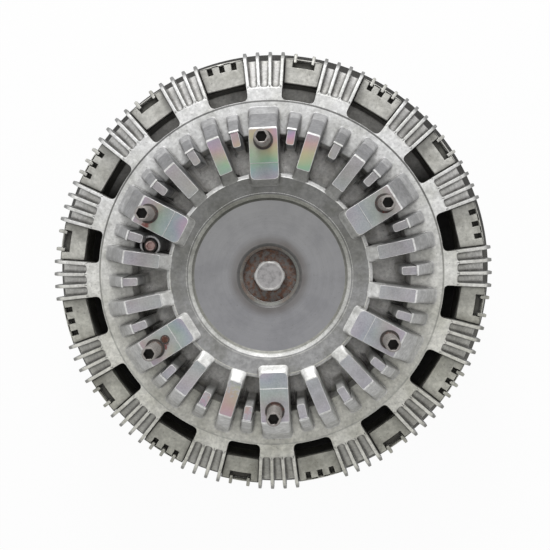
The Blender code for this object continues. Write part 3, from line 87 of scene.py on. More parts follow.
class Graph:
    """Builds the nodes of one material, from the texture coordinates to the shader."""

    def __init__(self, name: str) -> None:
        """Starts an empty material.

        Args:
            name: the material's name.
        """
        self.material = bpy.data.materials.new(name)
        self.material.use_nodes = True
        self.tree = self.material.node_tree
        self.shader = self.tree.nodes["Principled BSDF"]
        self.place = self.add("ShaderNodeTexCoord").outputs["Object"]

    def add(self, kind: str, inputs: dict | None = None, **settings: object) -> bpy.types.Node:
        """Adds a node.

        Args:
            kind: the node's type.
            inputs: values or sockets for its inputs.
            settings: the node's own settings.

        Returns:
            The new node.
        """
        node = self.tree.nodes.new(kind)
        for key, value in settings.items():
            setattr(node, key, value)
        for key, value in (inputs or {}).items():
            if isinstance(value, Socket):
                self.tree.links.new(value, node.inputs[key])
            else:
                node.inputs[key].default_value = value
        return node

    def noise(self, grain: float, detail: float = 4, rough: float = 0.55,
              place: Socket | None = None) -> Socket:
        """Noise from 0 to 1.

        Args:
            grain: the size of its largest blots.
            detail: how many finer layers it has.
            rough: how strong the finer layers are.
            place: the coordinates, or None for the piece's own.

        Returns:
            The noise's value.
        """
        inputs = {"Vector": place or self.place, "Scale": 1 / grain, "Detail": detail, "Roughness": rough}
        return self.add("ShaderNodeTexNoise", inputs).outputs["Fac"]

    def sum(self, kind: str, first: Socket | float, second: Socket | float = 0.0) -> Socket:
        """Works out one operation on two values.

        Args:
            kind: the operation's name.
            first: the first value.
            second: the second value.

        Returns:
            The result.
        """
        return self.add("ShaderNodeMath", {0: first, 1: second}, operation=kind).outputs[0]

    def measure(self, kind: str, *vectors: Socket | Colour) -> Socket:
        """Works out a length, a distance or a product.

        Args:
            kind: the operation's name.
            vectors: one or two vectors.

        Returns:
            The result.
        """
        return self.add("ShaderNodeVectorMath", dict(enumerate(vectors)), operation=kind).outputs["Value"]

    def span(self, value: Socket, low: float, high: float, first: float = 0.0, last: float = 1.0) -> Socket:
        """Carries a value smoothly from one range to another.

        Args:
            value: the value to carry.
            low: where it starts to count.
            high: where it stops counting.
            first: the result at the low end.
            last: the result at the high end.

        Returns:
            The result.
        """
        inputs = {"Value": value, "From Min": low, "From Max": high, "To Min": first, "To Max": last}
        return self.add("ShaderNodeMapRange", inputs, interpolation_type="SMOOTHSTEP").outputs[0]

    def cloud(self, layers: tuple[float, ...], *reach: float) -> Socket:
        """Noise whose middle range is spread out.

        Args:
            layers: its grain, detail and roughness.
            reach: what span takes after its value.

        Returns:
            The result.
        """
        return self.span(self.noise(*layers), *reach)

    def mix(self, share: Socket | float, first: Socket | Colour, second: Socket | Colour,
            blend: str = "MIX") -> Socket:
        """Mixes two colours.

        Args:
            share: how much of the second colour there is.
            first: the first colour.
            second: the second colour.
            blend: how they are mixed.

        Returns:
            The mixed colour.
        """
        first, second = ((*c, 1.0) if isinstance(c, tuple) else c for c in (first, second))
        inputs = {0: share, 6: first, 7: second}
        return self.add("ShaderNodeMix", inputs, data_type="RGBA", blend_type=blend).outputs[2]

    def lay(self, colour: Socket | Colour, other: Socket | Colour, *shares: Socket | float) -> Socket:
        """Lays another colour over one.

        Args:
            colour: the colour below.
            other: the colour on top.
            shares: how much of it shows, as one value or as several to be multiplied.

        Returns:
            The colour that shows.
        """
        share = shares[0]
        for factor in shares[1:]:
            share = self.sum("MULTIPLY", share, factor)
        return self.mix(share, colour, other)

    def times(self, colour: Socket, tone: Socket) -> Socket:
        """A colour multiplied by a tone."""
        return self.mix(1.0, colour, tone, "MULTIPLY")

    def ramp(self, value: Socket, stops: Sequence[tuple[float, Colour]]) -> Socket:
        """Turns a value into a colour.

        Args:
            value: the value.
            stops: the places and colours along the ramp.

        Returns:
            The colour.
        """
        node = self.add("ShaderNodeValToRGB", {0: value})
        elements = node.color_ramp.elements
        for i, (place, colour) in enumerate(stops):
            element = elements[i] if i < 2 else elements.new(place)
            element.position, element.color = place, (*colour, 1.0)
        return node.outputs[0]

    def axis(self, number: int) -> Socket:
        """One of the coordinates of the piece's own place."""
        return self.add("ShaderNodeSeparateXYZ", {0: self.place}).outputs[number]

    def flat(self) -> Socket:
        """The place without its height."""
        inputs = {0: self.place, 1: (1, 1, 0)}
        return self.add("ShaderNodeVectorMath", inputs, operation="MULTIPLY").outputs[0]

    def radius(self) -> Socket:
        """The distance from the clutch's axis."""
        return self.measure("LENGTH", self.flat())

    def shaded(self, colour: Socket, shade: Colour, reach: Span = (0.085, -0.075)) -> Socket:
        """Multiplies a colour by a shade that sets in towards -Y: painted light and shade, standing in for
        the light that falls from +Y.

        Args:
            colour: the colour.
            shade: the factor at the -Y side.
            reach: where along Y it starts and where it is full.

        Returns:
            The shaded colour.
        """
        return self.times(colour, self.mix(self.span(self.axis(1), *reach), (1.0, 1.0, 1.0), shade))

    def turning(self, pitch: float) -> Socket:
        """Fine rings round the axis, as a turning tool leaves them, for this spacing."""
        place = self.add("ShaderNodeCombineXYZ", {0: self.radius(), 1: self.axis(2)})
        return self.noise(pitch, 2, 0.7, place.outputs[0])

    def spot(self, x: float, y: float, radius: float) -> Socket:
        """A ragged spot.

        Args:
            x: its place.
            y: its place.
            radius: its radius.

        Returns:
            1 in the spot and 0 round it.
        """
        away = self.measure("DISTANCE", self.flat(), (x, y, 0))
        ragged = self.sum("ADD", away, self.cloud((0.0022, 4), 0.3, 0.7, -radius * 0.4, radius * 0.4))
        return self.span(ragged, radius, radius * 0.55, 0.0, 0.85)

    def crevice(self, reach: float) -> Socket:
        """How open a place is, from 0 deep in a corner to 1 on an open face."""
        return self.add("ShaderNodeAmbientOcclusion", {"Distance": reach}, samples=8).outputs["AO"]

    def edge(self, radius: float) -> tuple[Socket, Socket]:
        """Finds the edges of the metal.

        Args:
            radius: how wide a pale edge is.

        Returns:
            How near the place is to an edge, from 0 to 1, and the normal with its edges rounded.
        """
        rounded_normal = self.add("ShaderNodeBevel", {"Radius": radius}, samples=6).outputs[0]
        plain = self.add("ShaderNodeNewGeometry").outputs["Normal"]
        return self.span(self.measure("DOT_PRODUCT", rounded_normal, plain), 0.97, 0.75), rounded_normal

    def bump(self, height: Socket, depth: float, normal: Socket, strength: float = 0.8) -> Socket:
        """Raises a surface by a value.

        Args:
            height: the value.
            depth: the height of 1 in metres.
            normal: the normal to add to.
            strength: how strong the effect is.

        Returns:
            The new normal.
        """
        inputs = {"Height": height, "Distance": depth, "Strength": strength, "Normal": normal}
        return self.add("ShaderNodeBump", inputs).outputs[0]

    def finish(self, colour: Socket, roughness: Socket, normal: Socket, metallic: float,
               mirror: float = 0.5) -> bpy.types.Material:
        """Joins the surface to the shader.

        Args:
            colour: the base colour.
            roughness: the roughness.
            normal: the normal.
            metallic: how much of a metal it is.
            mirror: how strongly it mirrors where it isn't metal.

        Returns:
            The finished material.
        """
        for name, value in (("Base Color", colour), ("Roughness", roughness), ("Normal", normal)):
            self.tree.links.new(value, self.shader.inputs[name])
        self.shader.inputs["Metallic"].default_value = metallic
        self.shader.inputs["Specular IOR Level"].default_value = mirror
        return self.material


class Finish:
    """A surface that pieces are dressed in. It makes its material once."""

    name: str

    def build(self) -> bpy.types.Material:
        """Makes the material."""
        raise NotImplementedError

    def material(self) -> bpy.types.Material:
        """The finish's material, made the first time it is asked for."""
        return bpy.data.materials.get(self.name) or self.build()


@dataclass(frozen=True)
class CastFinish(Finish):
    """Sand or die cast metal: grainy and stained, with grime and painted shade in its corners, pale edges for
    wear and painted glints, and painted light and shade towards -Y.
    """

    name: str
    colour: Colour
    stain: Colour
    grime_and_shade: Colour
    edge_wear_and_glint: Colour
    # shade multiplies the colour towards -Y: painted light and shade.
    shade: Colour = (1.0, 1.0, 1.0)
    roughness: float = 0.42
    metallic: float = 0.3
    grain: float = 0.0011
    grain_depth: float = 0.00010
    # reach, soft_shade_reach and outline set the darkening near walls and in corners: grime and painted
    # shade.
    reach: float = 0.0022
    soft_shade_reach: float = 0.0
    edge_width: float = 0.0005
    edge_share: float = 1.0
    # tips darkens the fin tips as painted shade.
    tips: float = 1.0
    mirror: float = 0.5
    outline: Span = (0.92, 0.60)
    shade_span: Span = (0.085, -0.075)

    def build(self) -> bpy.types.Material:
        """Makes the material.

        Returns:
            The material.
        """
        graph = Graph(self.name)
        colour = graph.lay(self.colour, self.stain, graph.cloud((0.022, 5, 0.6), 0.42, 0.68))
        colour = graph.lay(colour, self.grime_and_shade, graph.cloud((0.0016, 3, 0.6), 0.60, 0.70), 0.35)
        streaks = graph.cloud((0.006, 4, 0.7), 0.35, 0.75, 0.84, 1.08)
        mottle = graph.cloud((0.0022, 3, 0.6), 0.30, 0.70, 0.86, 1.12)
        colour = graph.times(colour, graph.sum("MULTIPLY", streaks, mottle))
        # Painted light and shade: the tone changes towards -Y.
        colour = graph.shaded(colour, self.shade, self.shade_span)
        # Painted shade: the fin tips beyond 147 mm are darker.
        if self.tips != 1.0:
            colour = graph.times(colour, graph.span(graph.radius(), 0.1470, 0.1500, 1.0, self.tips))
        # Painted shade with some grime: darker near walls and at the feet of ribs.
        if self.soft_shade_reach:
            soft_corner_shade = graph.span(graph.crevice(self.soft_shade_reach), 0.95, 0.35, 0.0, 0.55)
            colour = graph.lay(colour, self.grime_and_shade, soft_corner_shade)
        # Darker deep in corners: grime and painted shade.
        closed = graph.span(graph.crevice(self.reach), *self.outline)
        colour = graph.lay(colour, self.grime_and_shade, closed, graph.cloud((0.004, 4), 0.2, 0.7, 0.7, 1.0))
        # Pale edges: wear and painted glints.
        wear_and_glint, rounded_normal = graph.edge(self.edge_width)
        broken = graph.cloud((0.003, 3), 0.3, 0.6, 0.35 * self.edge_share, self.edge_share)
        colour = graph.lay(colour, self.edge_wear_and_glint, wear_and_glint, broken)
        fine = graph.noise(self.grain, 5, 0.65)
        spread = graph.span(fine, 0.3, 0.7, self.roughness - 0.08, self.roughness + 0.12)
        height = graph.sum("ADD", fine, graph.sum("MULTIPLY", graph.noise(0.005, 3), 1.6))
        normal = graph.bump(height, self.grain_depth, rounded_normal, 0.9)
        return graph.finish(colour, spread, normal, self.metallic, self.mirror)


@dataclass(frozen=True)
class TurnedFinish(Finish):
    """Metal with a tool's fine rings, and with smears and small stains on it. Its tone changes towards -Y as
    painted light and shade, a ring outside halo_radius is darker as painted shade, and its edges are pale for
    wear and painted glints.
    """

    name: str
    colour: Colour
    stain: Colour
    shade: Colour = (1.0, 1.0, 1.0)
    roughness: float = 0.38
    metallic: float = 0.5
    pitch: float = 0.0007
    ring_depth: float = 0.00002
    blot: float = 0.018
    halo_radius: float = 0.0
    halo: Colour = (0.12, 0.11, 0.10)

    def build(self) -> bpy.types.Material:
        """Makes the material.

        Returns:
            The material.
        """
        graph = Graph(self.name)
        rings = graph.turning(self.pitch)
        colour = graph.lay(self.colour, self.stain, graph.cloud((self.blot, 6, 0.62), 0.40, 0.72))
        colour = graph.times(colour, graph.span(rings, 0.25, 0.75, 0.96, 1.04))
        # Painted light and shade: the tone changes towards -Y.
        colour = graph.shaded(colour, self.shade)
        colour = graph.lay(colour, self.halo, graph.cloud((0.0012, 3, 0.5), 0.64, 0.74, 0.0, 0.30))
        # Painted shade: a darker ring outside halo_radius, for a dip towards the recess that the flat face
        # doesn't have.
        if self.halo_radius:
            near = graph.span(graph.radius(), self.halo_radius, self.halo_radius + 0.0065, 0.75, 0.0)
            colour = graph.lay(colour, self.halo, near, graph.cloud((0.02, 3), 0.3, 0.7, 0.6, 1.0))
        # Pale edges: wear and painted glints.
        wear_and_glint, rounded_normal = graph.edge(0.0003)
        colour = graph.lay(colour, (0.70, 0.70, 0.68), wear_and_glint, 0.12)
        spread = graph.cloud((0.009, 5, 0.65), 0.3, 0.7, self.roughness - 0.07, self.roughness + 0.10)
        height = graph.sum("ADD", rings, graph.sum("MULTIPLY", graph.noise(0.0009, 4, 0.6), 0.8))
        normal = graph.bump(height, self.ring_depth, rounded_normal)
        return graph.finish(colour, spread, normal, self.metallic)


@dataclass(frozen=True)
class TintedFinish(Finish):
    """A milled top with the thin film that shows green, yellow and pink, strongest towards +Y; painted light
    makes it paler towards -Y, and its edges are pale for wear and painted glints.
    """

    name: str
    colour: Colour
    stain: Colour
    offset: float = 0.0
    elsewhere: float = 0.5
    patch: Spot = (-0.0320, -0.0860, 0.0200)
    rust_spots: tuple[Spot, ...] = ()
    shade: Colour = (1.30, 1.30, 1.38)
    roughness: float = 0.36
    metallic: float = 0.45

    def film(self, graph: Graph) -> Socket:
        """Works out the film's colour, which runs round with the distance from the axis.

        Args:
            graph: the material's nodes.

        Returns:
            The colour.
        """
        drift = graph.sum("MULTIPLY", graph.noise(0.030, 2, 0.5), 0.9)
        inward = graph.sum("MULTIPLY", graph.radius(), -24.0)
        phase = graph.sum("FRACT", graph.sum("ADD", inward, graph.sum("ADD", drift, self.offset)))
        return graph.ramp(phase, (
            (0.0, (0.40, 0.24, 0.38)), (1.0, (0.40, 0.24, 0.38)), (0.16, (0.46, 0.28, 0.26)),
            (0.34, (0.41, 0.37, 0.21)), (0.55, (0.22, 0.37, 0.23)), (0.78, (0.19, 0.29, 0.33))))

    def build(self) -> bpy.types.Material:
        """Makes the material.

        Returns:
            The material.
        """
        graph = Graph(self.name)
        base = graph.lay(self.colour, self.stain, graph.cloud((0.012, 5, 0.6), 0.38, 0.72))
        base = graph.times(base, graph.cloud((0.0011, 3, 0.7), 0.3, 0.7, 0.86, 1.10))
        # Painted light and shade: the tone changes towards -Y.
        base = graph.shaded(base, self.shade)
        aside = graph.sum("ABSOLUTE", graph.axis(0))
        upper = graph.span(graph.axis(1), 0.056, 0.070)
        near = graph.sum("MULTIPLY", upper, graph.span(aside, 0.046, 0.038))
        left = graph.span(graph.axis(0), 0.030, -0.050, 0.5 * self.elsewhere, self.elsewhere)
        for place in (left, graph.spot(*self.patch)):
            near = graph.sum("MAXIMUM", near, place)
        colour = graph.lay(base, self.film(graph), near, graph.cloud((0.016, 3, 0.5), 0.35, 0.60, 0.35, 0.85))
        for spot in self.rust_spots:
            colour = graph.lay(colour, (0.17, 0.022, 0.018), graph.spot(*spot))
        # Pale edges: wear and painted glints.
        wear_and_glint, rounded_normal = graph.edge(0.0004)
        colour = graph.lay(colour, (0.80, 0.79, 0.78), wear_and_glint, 0.45)
        spread = graph.cloud((0.004, 4), 0.3, 0.7, self.roughness - 0.06, self.roughness + 0.10)
        normal = graph.bump(graph.noise(0.0010, 4, 0.6), 0.00003, rounded_normal)
        return graph.finish(colour, spread, normal, self.metallic)


@dataclass(frozen=True)
class RustyFinish(Finish):
    """Steel that has rusted in patches, most of all low down on the piece, with pale edges for wear and
    painted glints.
    """

    name: str
    colour: Colour
    rust: Colour
    deep_rust: Colour
    amount: float = 0.5
    low: float = 0.0
    high: float = 0.0
    roughness: float = 0.5
    metallic: float = 0.6
    grain: float = 0.003

    def build(self) -> bpy.types.Material:
        """Makes the material.

        Returns:
            The material.
        """
        graph = Graph(self.name)
        patches = graph.noise(self.grain, 5, 0.65)
        if self.high > self.low:
            patches = graph.sum("ADD", patches, graph.span(graph.axis(2), self.low, self.high, 0.30, -0.06))
        share = graph.span(patches, 0.90 - self.amount, 1.12 - self.amount)
        rust = graph.lay(self.rust, self.deep_rust, graph.cloud((0.0012, 4), 0.35, 0.65))
        colour = graph.lay(self.colour, rust, share)
        colour = graph.times(colour, graph.cloud((0.0007, 3), 0.3, 0.7, 0.8, 1.1))
        # Pale edges: wear and painted glints.
        wear_and_glint, rounded_normal = graph.edge(0.0003)
        colour = graph.lay(colour, (0.70, 0.66, 0.62), wear_and_glint, 0.45)
        spread = graph.span(share, 0.0, 1.0, self.roughness - 0.12, self.roughness + 0.25)
        normal = graph.bump(graph.noise(0.0008, 5, 0.65), 0.00008, rounded_normal)
        return graph.finish(colour, spread, normal, self.metallic)


@dataclass(frozen=True)
class MottledFinish(Finish):
    """A plain surface with blotches, grain and painted shade in its corners: plating, paint, rubber, lining,
    brass or iron.
    """

    name: str
    colour: Colour
    blots_and_corner_shade: Colour
    specks: Colour
    roughness: float
    metallic: float = 0.0
    blot: float = 0.008
    grain: float = 0.0008
    depth: float = 0.00004

    def build(self) -> bpy.types.Material:
        """Makes the material.

        Returns:
            The material.
        """
        graph = Graph(self.name)
        colour = graph.lay(self.colour, self.blots_and_corner_shade, graph.cloud((self.blot, 5), 0.38, 0.68))
        fine = graph.noise(self.grain, 4, 0.65)
        colour = graph.lay(colour, self.specks, graph.span(fine, 0.58, 0.74, 0.0, 0.7))
        # Painted shade: darker in corners, in the blotch colour.
        colour = graph.lay(colour, self.blots_and_corner_shade, graph.span(graph.crevice(0.004), 0.7, 0.3, 0.0, 0.6))
        spread = graph.cloud((self.blot / 2, 4), 0.3, 0.7, self.roughness - 0.08, self.roughness + 0.10)
        _, rounded_normal = graph.edge(0.0003)
        return graph.finish(colour, spread, graph.bump(fine, self.depth, rounded_normal), self.metallic)


# Most cast finishes below are lighter and darker copies of one cast aluminium, tuned as painted light and
# shade for light from +Y.
CAST = CastFinish("cast aluminium", (0.74, 0.74, 0.735), (0.60, 0.60, 0.575), (0.08, 0.077, 0.07),
                  (0.93, 0.93, 0.92), shade=(0.92, 0.91, 0.84), tips=0.36, soft_shade_reach=0.006, edge_share=0.8)
FLANGE_CAST = CastFinish("machined flange", (0.66, 0.66, 0.655), (0.52, 0.52, 0.50), (0.08, 0.077, 0.07),
                         (0.93, 0.93, 0.92), shade=(0.88, 0.87, 0.80), soft_shade_reach=0.005, edge_share=0.8)
# Painted shade on the sides of the fins.
FIN_SIDE = CastFinish("fin sides", (0.28, 0.28, 0.275), (0.21, 0.21, 0.20), (0.07, 0.066, 0.06),
                      (0.90, 0.90, 0.88))
# Painted light: the valley floors are paler than the casting, and darker towards -Y.
VALLEY_CAST = CastFinish("valley floors", (0.93, 0.92, 0.90), (0.78, 0.77, 0.73), (0.10, 0.095, 0.085),
                         (0.93, 0.93, 0.91), shade=(0.66, 0.66, 0.62), reach=0.0030, edge_share=0.5)
# A dark line of painted shade at the step, painted lighter towards -Y.
LINE_CAST = CastFinish("step line with painted shade", (0.15, 0.15, 0.146), (0.11, 0.11, 0.106), (0.075, 0.072, 0.068),
                       (0.30, 0.30, 0.29), shade=(3.6, 3.6, 3.4), edge_share=0.1)
# Near-black painted shade in the groove round the disc, painted lighter towards -Y.
GROOVE_CAST = CastFinish("groove round the disc", (0.045, 0.045, 0.036), (0.035, 0.035, 0.028),
                         (0.03, 0.03, 0.025), (0.10, 0.10, 0.085), shade=(7.5, 7.5, 8.5), edge_share=0.1,
                         outline=(0.70, 0.40))
# Painted shade: a darker copy of the casting for rib sides and feet, lighter towards -Y.
RIB_CAST = CastFinish("cast ribs", (0.50, 0.50, 0.505), (0.40, 0.40, 0.405), (0.07, 0.066, 0.062),
                      (0.90, 0.90, 0.90), shade=(1.25, 1.25, 1.2))
# Painted shade on the sloping rib ends, which face away from the light, lighter towards -Y.
SLOPE_CAST = CastFinish("sloping rib ends", (0.30, 0.30, 0.31), (0.235, 0.235, 0.24), (0.07, 0.068, 0.065),
                        (0.86, 0.86, 0.86), shade=(2.4, 2.4, 2.3))
# Painted light: pale so that the deep pockets look lit, with grime and painted shade in their corners.
POCKET_CAST = CastFinish("pockets with painted light", (0.86, 0.85, 0.83), (0.60, 0.59, 0.56), (0.08, 0.075, 0.07),
                         (0.75, 0.75, 0.73), metallic=0.0, roughness=0.6, grain_depth=0.0003, reach=0.006,
                         outline=(0.76, 0.40))
# Dark hub face; the change towards -Y is painted light and shade.
HUB_CAST = CastFinish("hub casting", (0.128, 0.128, 0.122), (0.085, 0.085, 0.076), (0.06, 0.056, 0.05),
                      (0.62, 0.61, 0.56), shade=(2.8, 2.8, 2.95), edge_share=0.35, soft_shade_reach=0.004)
# Painted light and shade: the bevels are dark at +Y and bright towards -Y, where they face the light.
STEP_CAST = CastFinish("bevels with painted light", (0.24, 0.24, 0.20), (0.17, 0.17, 0.138), (0.08, 0.075, 0.06),
                       (0.40, 0.40, 0.34), shade=(3.4, 3.4, 4.0), edge_share=0.5, outline=(0.70, 0.40))
# Painted light and shade: the rib run-outs are dark at +Y and bright towards -Y, where they face the light.
RAMP_CAST = CastFinish("rib run-outs", (0.20, 0.20, 0.188), (0.15, 0.15, 0.138), (0.07, 0.066, 0.06),
                       (0.60, 0.60, 0.57), shade=(4.4, 4.4, 4.6), edge_share=0.4)
# A dark ring of painted shade at the recess lip, painted lighter towards -Y.
LIP_CAST = CastFinish("recess lip", (0.07, 0.068, 0.064), (0.055, 0.053, 0.048), (0.05, 0.048, 0.045),
                      (0.20, 0.20, 0.195), shade=(1.9, 1.9, 2.0), edge_share=0.1)
# Painted light and shade: the rear ring is paler at +Y and darker towards -Y.
RING_CAST = CastFinish("rear ring casting", (0.55, 0.545, 0.51), (0.40, 0.395, 0.36), (0.04, 0.038, 0.032),
                       (0.80, 0.80, 0.77), shade=(0.88, 0.88, 0.83), soft_shade_reach=0.005)
# Near-black painted shade on the skirt, painted lighter towards -Y.
SKIRT_CAST = CastFinish("skirt with painted shade", (0.040, 0.039, 0.036), (0.026, 0.025, 0.023),
                        (0.012, 0.011, 0.010), (0.22, 0.22, 0.21), shade=(3.2, 3.2, 3.1), edge_share=0.4,
                        metallic=0.0, roughness=0.7, mirror=0.12)
# Pale rounded edges and the hub's shoulder: wear and painted glints.
EDGE_CAST = CastFinish("worn edges", (0.78, 0.78, 0.77), (0.62, 0.62, 0.60), (0.16, 0.155, 0.145),
                       (0.88, 0.88, 0.87), edge_share=0.6)
# Painted shade: the walls and floors in the windows and slots are dark.
WINDOW_CAST = CastFinish("window walls", (0.10, 0.098, 0.085), (0.065, 0.062, 0.053), (0.02, 0.02, 0.017),
                         (0.35, 0.35, 0.33), metallic=0.1, roughness=0.55, grain_depth=0.0003, edge_share=0.6)
FOOT_CAST = CastFinish("bracket casting", (0.16, 0.158, 0.152), (0.11, 0.107, 0.10), (0.035, 0.033, 0.03),
                       (0.38, 0.38, 0.365), grain_depth=0.0003, roughness=0.5)
# Painted light towards -Y and a ring of painted shade outside 22 mm.
DISC_FACE = TurnedFinish("turned disc face", (0.222, 0.222, 0.222), (0.188, 0.188, 0.190),
                         shade=(1.18, 1.18, 1.24), halo_radius=0.0222, halo=(0.085, 0.072, 0.062))
# Painted light: the milled tops grow paler towards -Y.
PAD_TOP = TintedFinish("milled pad tops", (0.32, 0.316, 0.325), (0.25, 0.248, 0.26), offset=0.96,
                       rust_spots=((-0.0786, 0.0382, 0.0034), (-0.0718, -0.0428, 0.0038)))
RIB_TOP = TintedFinish("milled rib tops", (0.30, 0.298, 0.300), (0.235, 0.234, 0.236), offset=0.86,
                       elsewhere=0.16)
# Painted light and shade: pale so that the eddy ring looks lit in the upper windows, near black below y = 55
# mm.
EDDY_RING_LIGHT_AND_SHADE = CastFinish("eddy ring with painted light and shade", (0.66, 0.65, 0.62), (0.46, 0.45, 0.43), (0.05, 0.048, 0.045),
                        (0.60, 0.60, 0.58), shade=(0.03, 0.03, 0.03), metallic=0.0, roughness=0.7, mirror=0.1,
                        outline=(0.70, 0.30), shade_span=(0.092, 0.055))
STEEL = TurnedFinish("turned steel", (0.50, 0.50, 0.50), (0.38, 0.37, 0.35), blot=0.01)
SHEAVE_STEEL = TurnedFinish("turned iron", (0.32, 0.31, 0.30), (0.22, 0.20, 0.18), metallic=0.7,
                            roughness=0.45, blot=0.014, ring_depth=0.00005)
IRON = MottledFinish("dark cast iron", (0.085, 0.083, 0.080), (0.055, 0.052, 0.048), (0.16, 0.15, 0.14),
                     0.62, metallic=0.35, depth=0.00015, grain=0.0012)
RUSTY_WASHER = RustyFinish("rusty washer", (0.115, 0.108, 0.102), (0.20, 0.105, 0.070), (0.10, 0.060, 0.048),
                           amount=0.50, roughness=0.6, metallic=0.2)
RECESS_RUST = RustyFinish("rust round the recess", (0.20, 0.205, 0.19), (0.19, 0.135, 0.11),
                          (0.13, 0.09, 0.07), amount=0.42, roughness=0.55, metallic=0.2, grain=0.03)
BOLT_STEEL = TurnedFinish("rough bolt steel", (0.32, 0.31, 0.31), (0.20, 0.195, 0.195), blot=0.003,
                          roughness=0.40, ring_depth=0.00010, pitch=0.0016)
BOLT_EDGE = TurnedFinish("bright bolt crown", (0.47, 0.465, 0.455), (0.30, 0.29, 0.28), blot=0.004)
STUD_STEEL = RustyFinish("browned studs", (0.30, 0.28, 0.265), (0.17, 0.08, 0.055), (0.07, 0.035, 0.027),
                         amount=0.40, low=0.184, high=0.190)
# Painted shadow: a dark sheet round the stud feet and the lock screw's head, with rust in patches.
SEAT_SHADOW = RustyFinish("rusty painted shadow at the stud seats", (0.035, 0.030, 0.027), (0.12, 0.03, 0.022), (0.06, 0.018, 0.014),
                       amount=0.40, roughness=0.7, metallic=0.0)
RUST_STAIN = RustyFinish("rust stain", (0.040, 0.034, 0.030), (0.15, 0.045, 0.032), (0.07, 0.025, 0.02),
                         amount=0.42, roughness=0.7, metallic=0.1)
ZINC = MottledFinish("zinc plate", (0.55, 0.54, 0.50), (0.42, 0.40, 0.36), (0.70, 0.69, 0.66), 0.38,
                     metallic=0.85)
PINK_ZINC = MottledFinish("tinted plate", (0.50, 0.38, 0.36), (0.36, 0.22, 0.20), (0.70, 0.62, 0.60), 0.40,
                          metallic=0.7, blot=0.004)
RUBBER = MottledFinish("black rubber", (0.022, 0.022, 0.023), (0.035, 0.034, 0.033),
                       (0.06, 0.058, 0.055), 0.7)
LINING = MottledFinish("friction lining", (0.13, 0.11, 0.09), (0.09, 0.075, 0.06), (0.42, 0.30, 0.16), 0.85,
                       grain=0.0012, depth=0.0001)
BRASS = MottledFinish("brass", (0.60, 0.44, 0.20), (0.44, 0.30, 0.13), (0.72, 0.58, 0.32), 0.32, metallic=0.9)
MAGNET = MottledFinish("magnet faces", (0.30, 0.30, 0.29), (0.20, 0.19, 0.18), (0.42, 0.41, 0.40), 0.4,
                       metallic=0.7)
# Near-black painted shade in the stud sockets.
SOCKET = MottledFinish("dark socket", (0.012, 0.011, 0.010), (0.02, 0.018, 0.016), (0.04, 0.03, 0.025), 0.7)


# Shapes


ORIGIN = Vector((0, 0, 0))
IN_PLACE = (Matrix(),)
SHARP_ANGLE = 38.0
WELD_DISTANCE = 2e-7


def polar(radius: float, angle: float, height: float = 0.0) -> Vector:
    """The point at this radius, angle and height."""
    turn = math.radians(angle)
    return Vector((radius * math.sin(turn), radius * math.cos(turn), height))


def turned_by(*angles: float) -> list[Matrix]:
    """The turns that take +Y to these angles."""
    return [Matrix.Rotation(math.radians(-angle), 4, "Z") for angle in angles]


def evenly(count: int, first: float = 0.0) -> list[float]:
    """Angles spaced evenly round a full turn."""
    return [first + 360 * i / count for i in range(count)]


def lying(x: float, y: float, level: float) -> Vector:
    """The place of a plan point and a level of a plate that lies flat."""
    return Vector((x, y, level))


def upended(radius: float, height: float, across: float) -> Vector:
    """The place of a plan point and a level of a plate that stands along the radius at +Y."""
    return Vector((across, radius, height))


def hexagon(flats: float, grow: float = 0.0, limit: float = math.inf) -> Callable[[float], float]:
    """The radius of a hexagon by the angle.

    Args:
        flats: its width across flats.
        grow: what is added to the radius.
        limit: the largest radius, where a cone cuts its corners.

    Returns:
        The function that gives the radius.
    """
    return lambda turn: min(limit, flats / 2 / math.cos(math.radians((turn + 30) % 60 - 30)) + grow)


def stack(levels: Iterable[tuple[float | Callable[[float], float], float]], count: int,
          centre: Vector = ORIGIN) -> list[Ring]:
    """Rings round an upright axis.

    Args:
        levels: for each ring its height, after its radius or a function that gives it for an angle.
        count: how many points a ring has.
        centre: where the axis stands.

    Returns:
        The rings.
    """
    turns = evenly(count)
    return [[centre + polar(radius(turn) if callable(radius) else radius, turn, height) for turn in turns]
            for radius, height in levels]


def rounded(outline: Outline, radii: float | Sequence[float], steps: int = 4) -> Outline:
    """The closed outline with its corners rounded, as tagged does it."""
    sizes = [radii] * len(outline) if isinstance(radii, (int, float)) else radii
    return [point for point, _ in tagged([(*corner, size) for corner, size in zip(outline, sizes)], steps)]


def tagged(corners: Sequence[Corner], steps: int) -> list[tuple[Span, int]]:
    """Rounds the corners of a closed outline and says what each of its edges is.

    Args:
        corners: its corners in order, each with the radius of its round.
        steps: how many edges each round has.

    Returns:
        Each point with the number of the flat that follows it, or in a round -1 less the corner's number.
    """
    spots = [Vector(corner[:2]) for corner in corners]
    result: list[tuple[Span, int]] = []
    for i, (here, (*_, radius)) in enumerate(zip(spots, corners)):
        before, after = spots[i - 1] - here, spots[(i + 1) % len(spots)] - here
        if radius <= 0:
            result.append((corners[i][:2], i))
            continue
        reach = min(radius / math.tan(before.angle(after) / 2), 0.49 * before.length, 0.49 * after.length)
        start, end = here + before.normalized() * reach, here + after.normalized() * reach
        for k in range(steps + 1):
            share = k / steps
            point = start.lerp(here, share).lerp(here.lerp(end, share), share)
            result.append(((point.x, point.y), i if k == steps else -1 - i))
    return result


def inset(outline: Outline, distance: float) -> Outline:
    """Moves a closed anticlockwise outline inwards.

    Args:
        outline: its points in order.
        distance: how far it moves, or a negative one to move it outwards.

    Returns:
        The moved outline, point for point.
    """
    moved = []
    for i, (x, y) in enumerate(outline):
        before = Vector((x, y)) - Vector(outline[i - 1])
        after = Vector(outline[(i + 1) % len(outline)]) - Vector((x, y))
        before, after = before.normalized(), after.normalized()
        first, second = Vector((-before.y, before.x)), Vector((-after.y, after.x))
        push = (first + second) / max(1 + first.dot(second), 0.4)
        moved.append((x + push.x * distance, y + push.y * distance))
    return moved


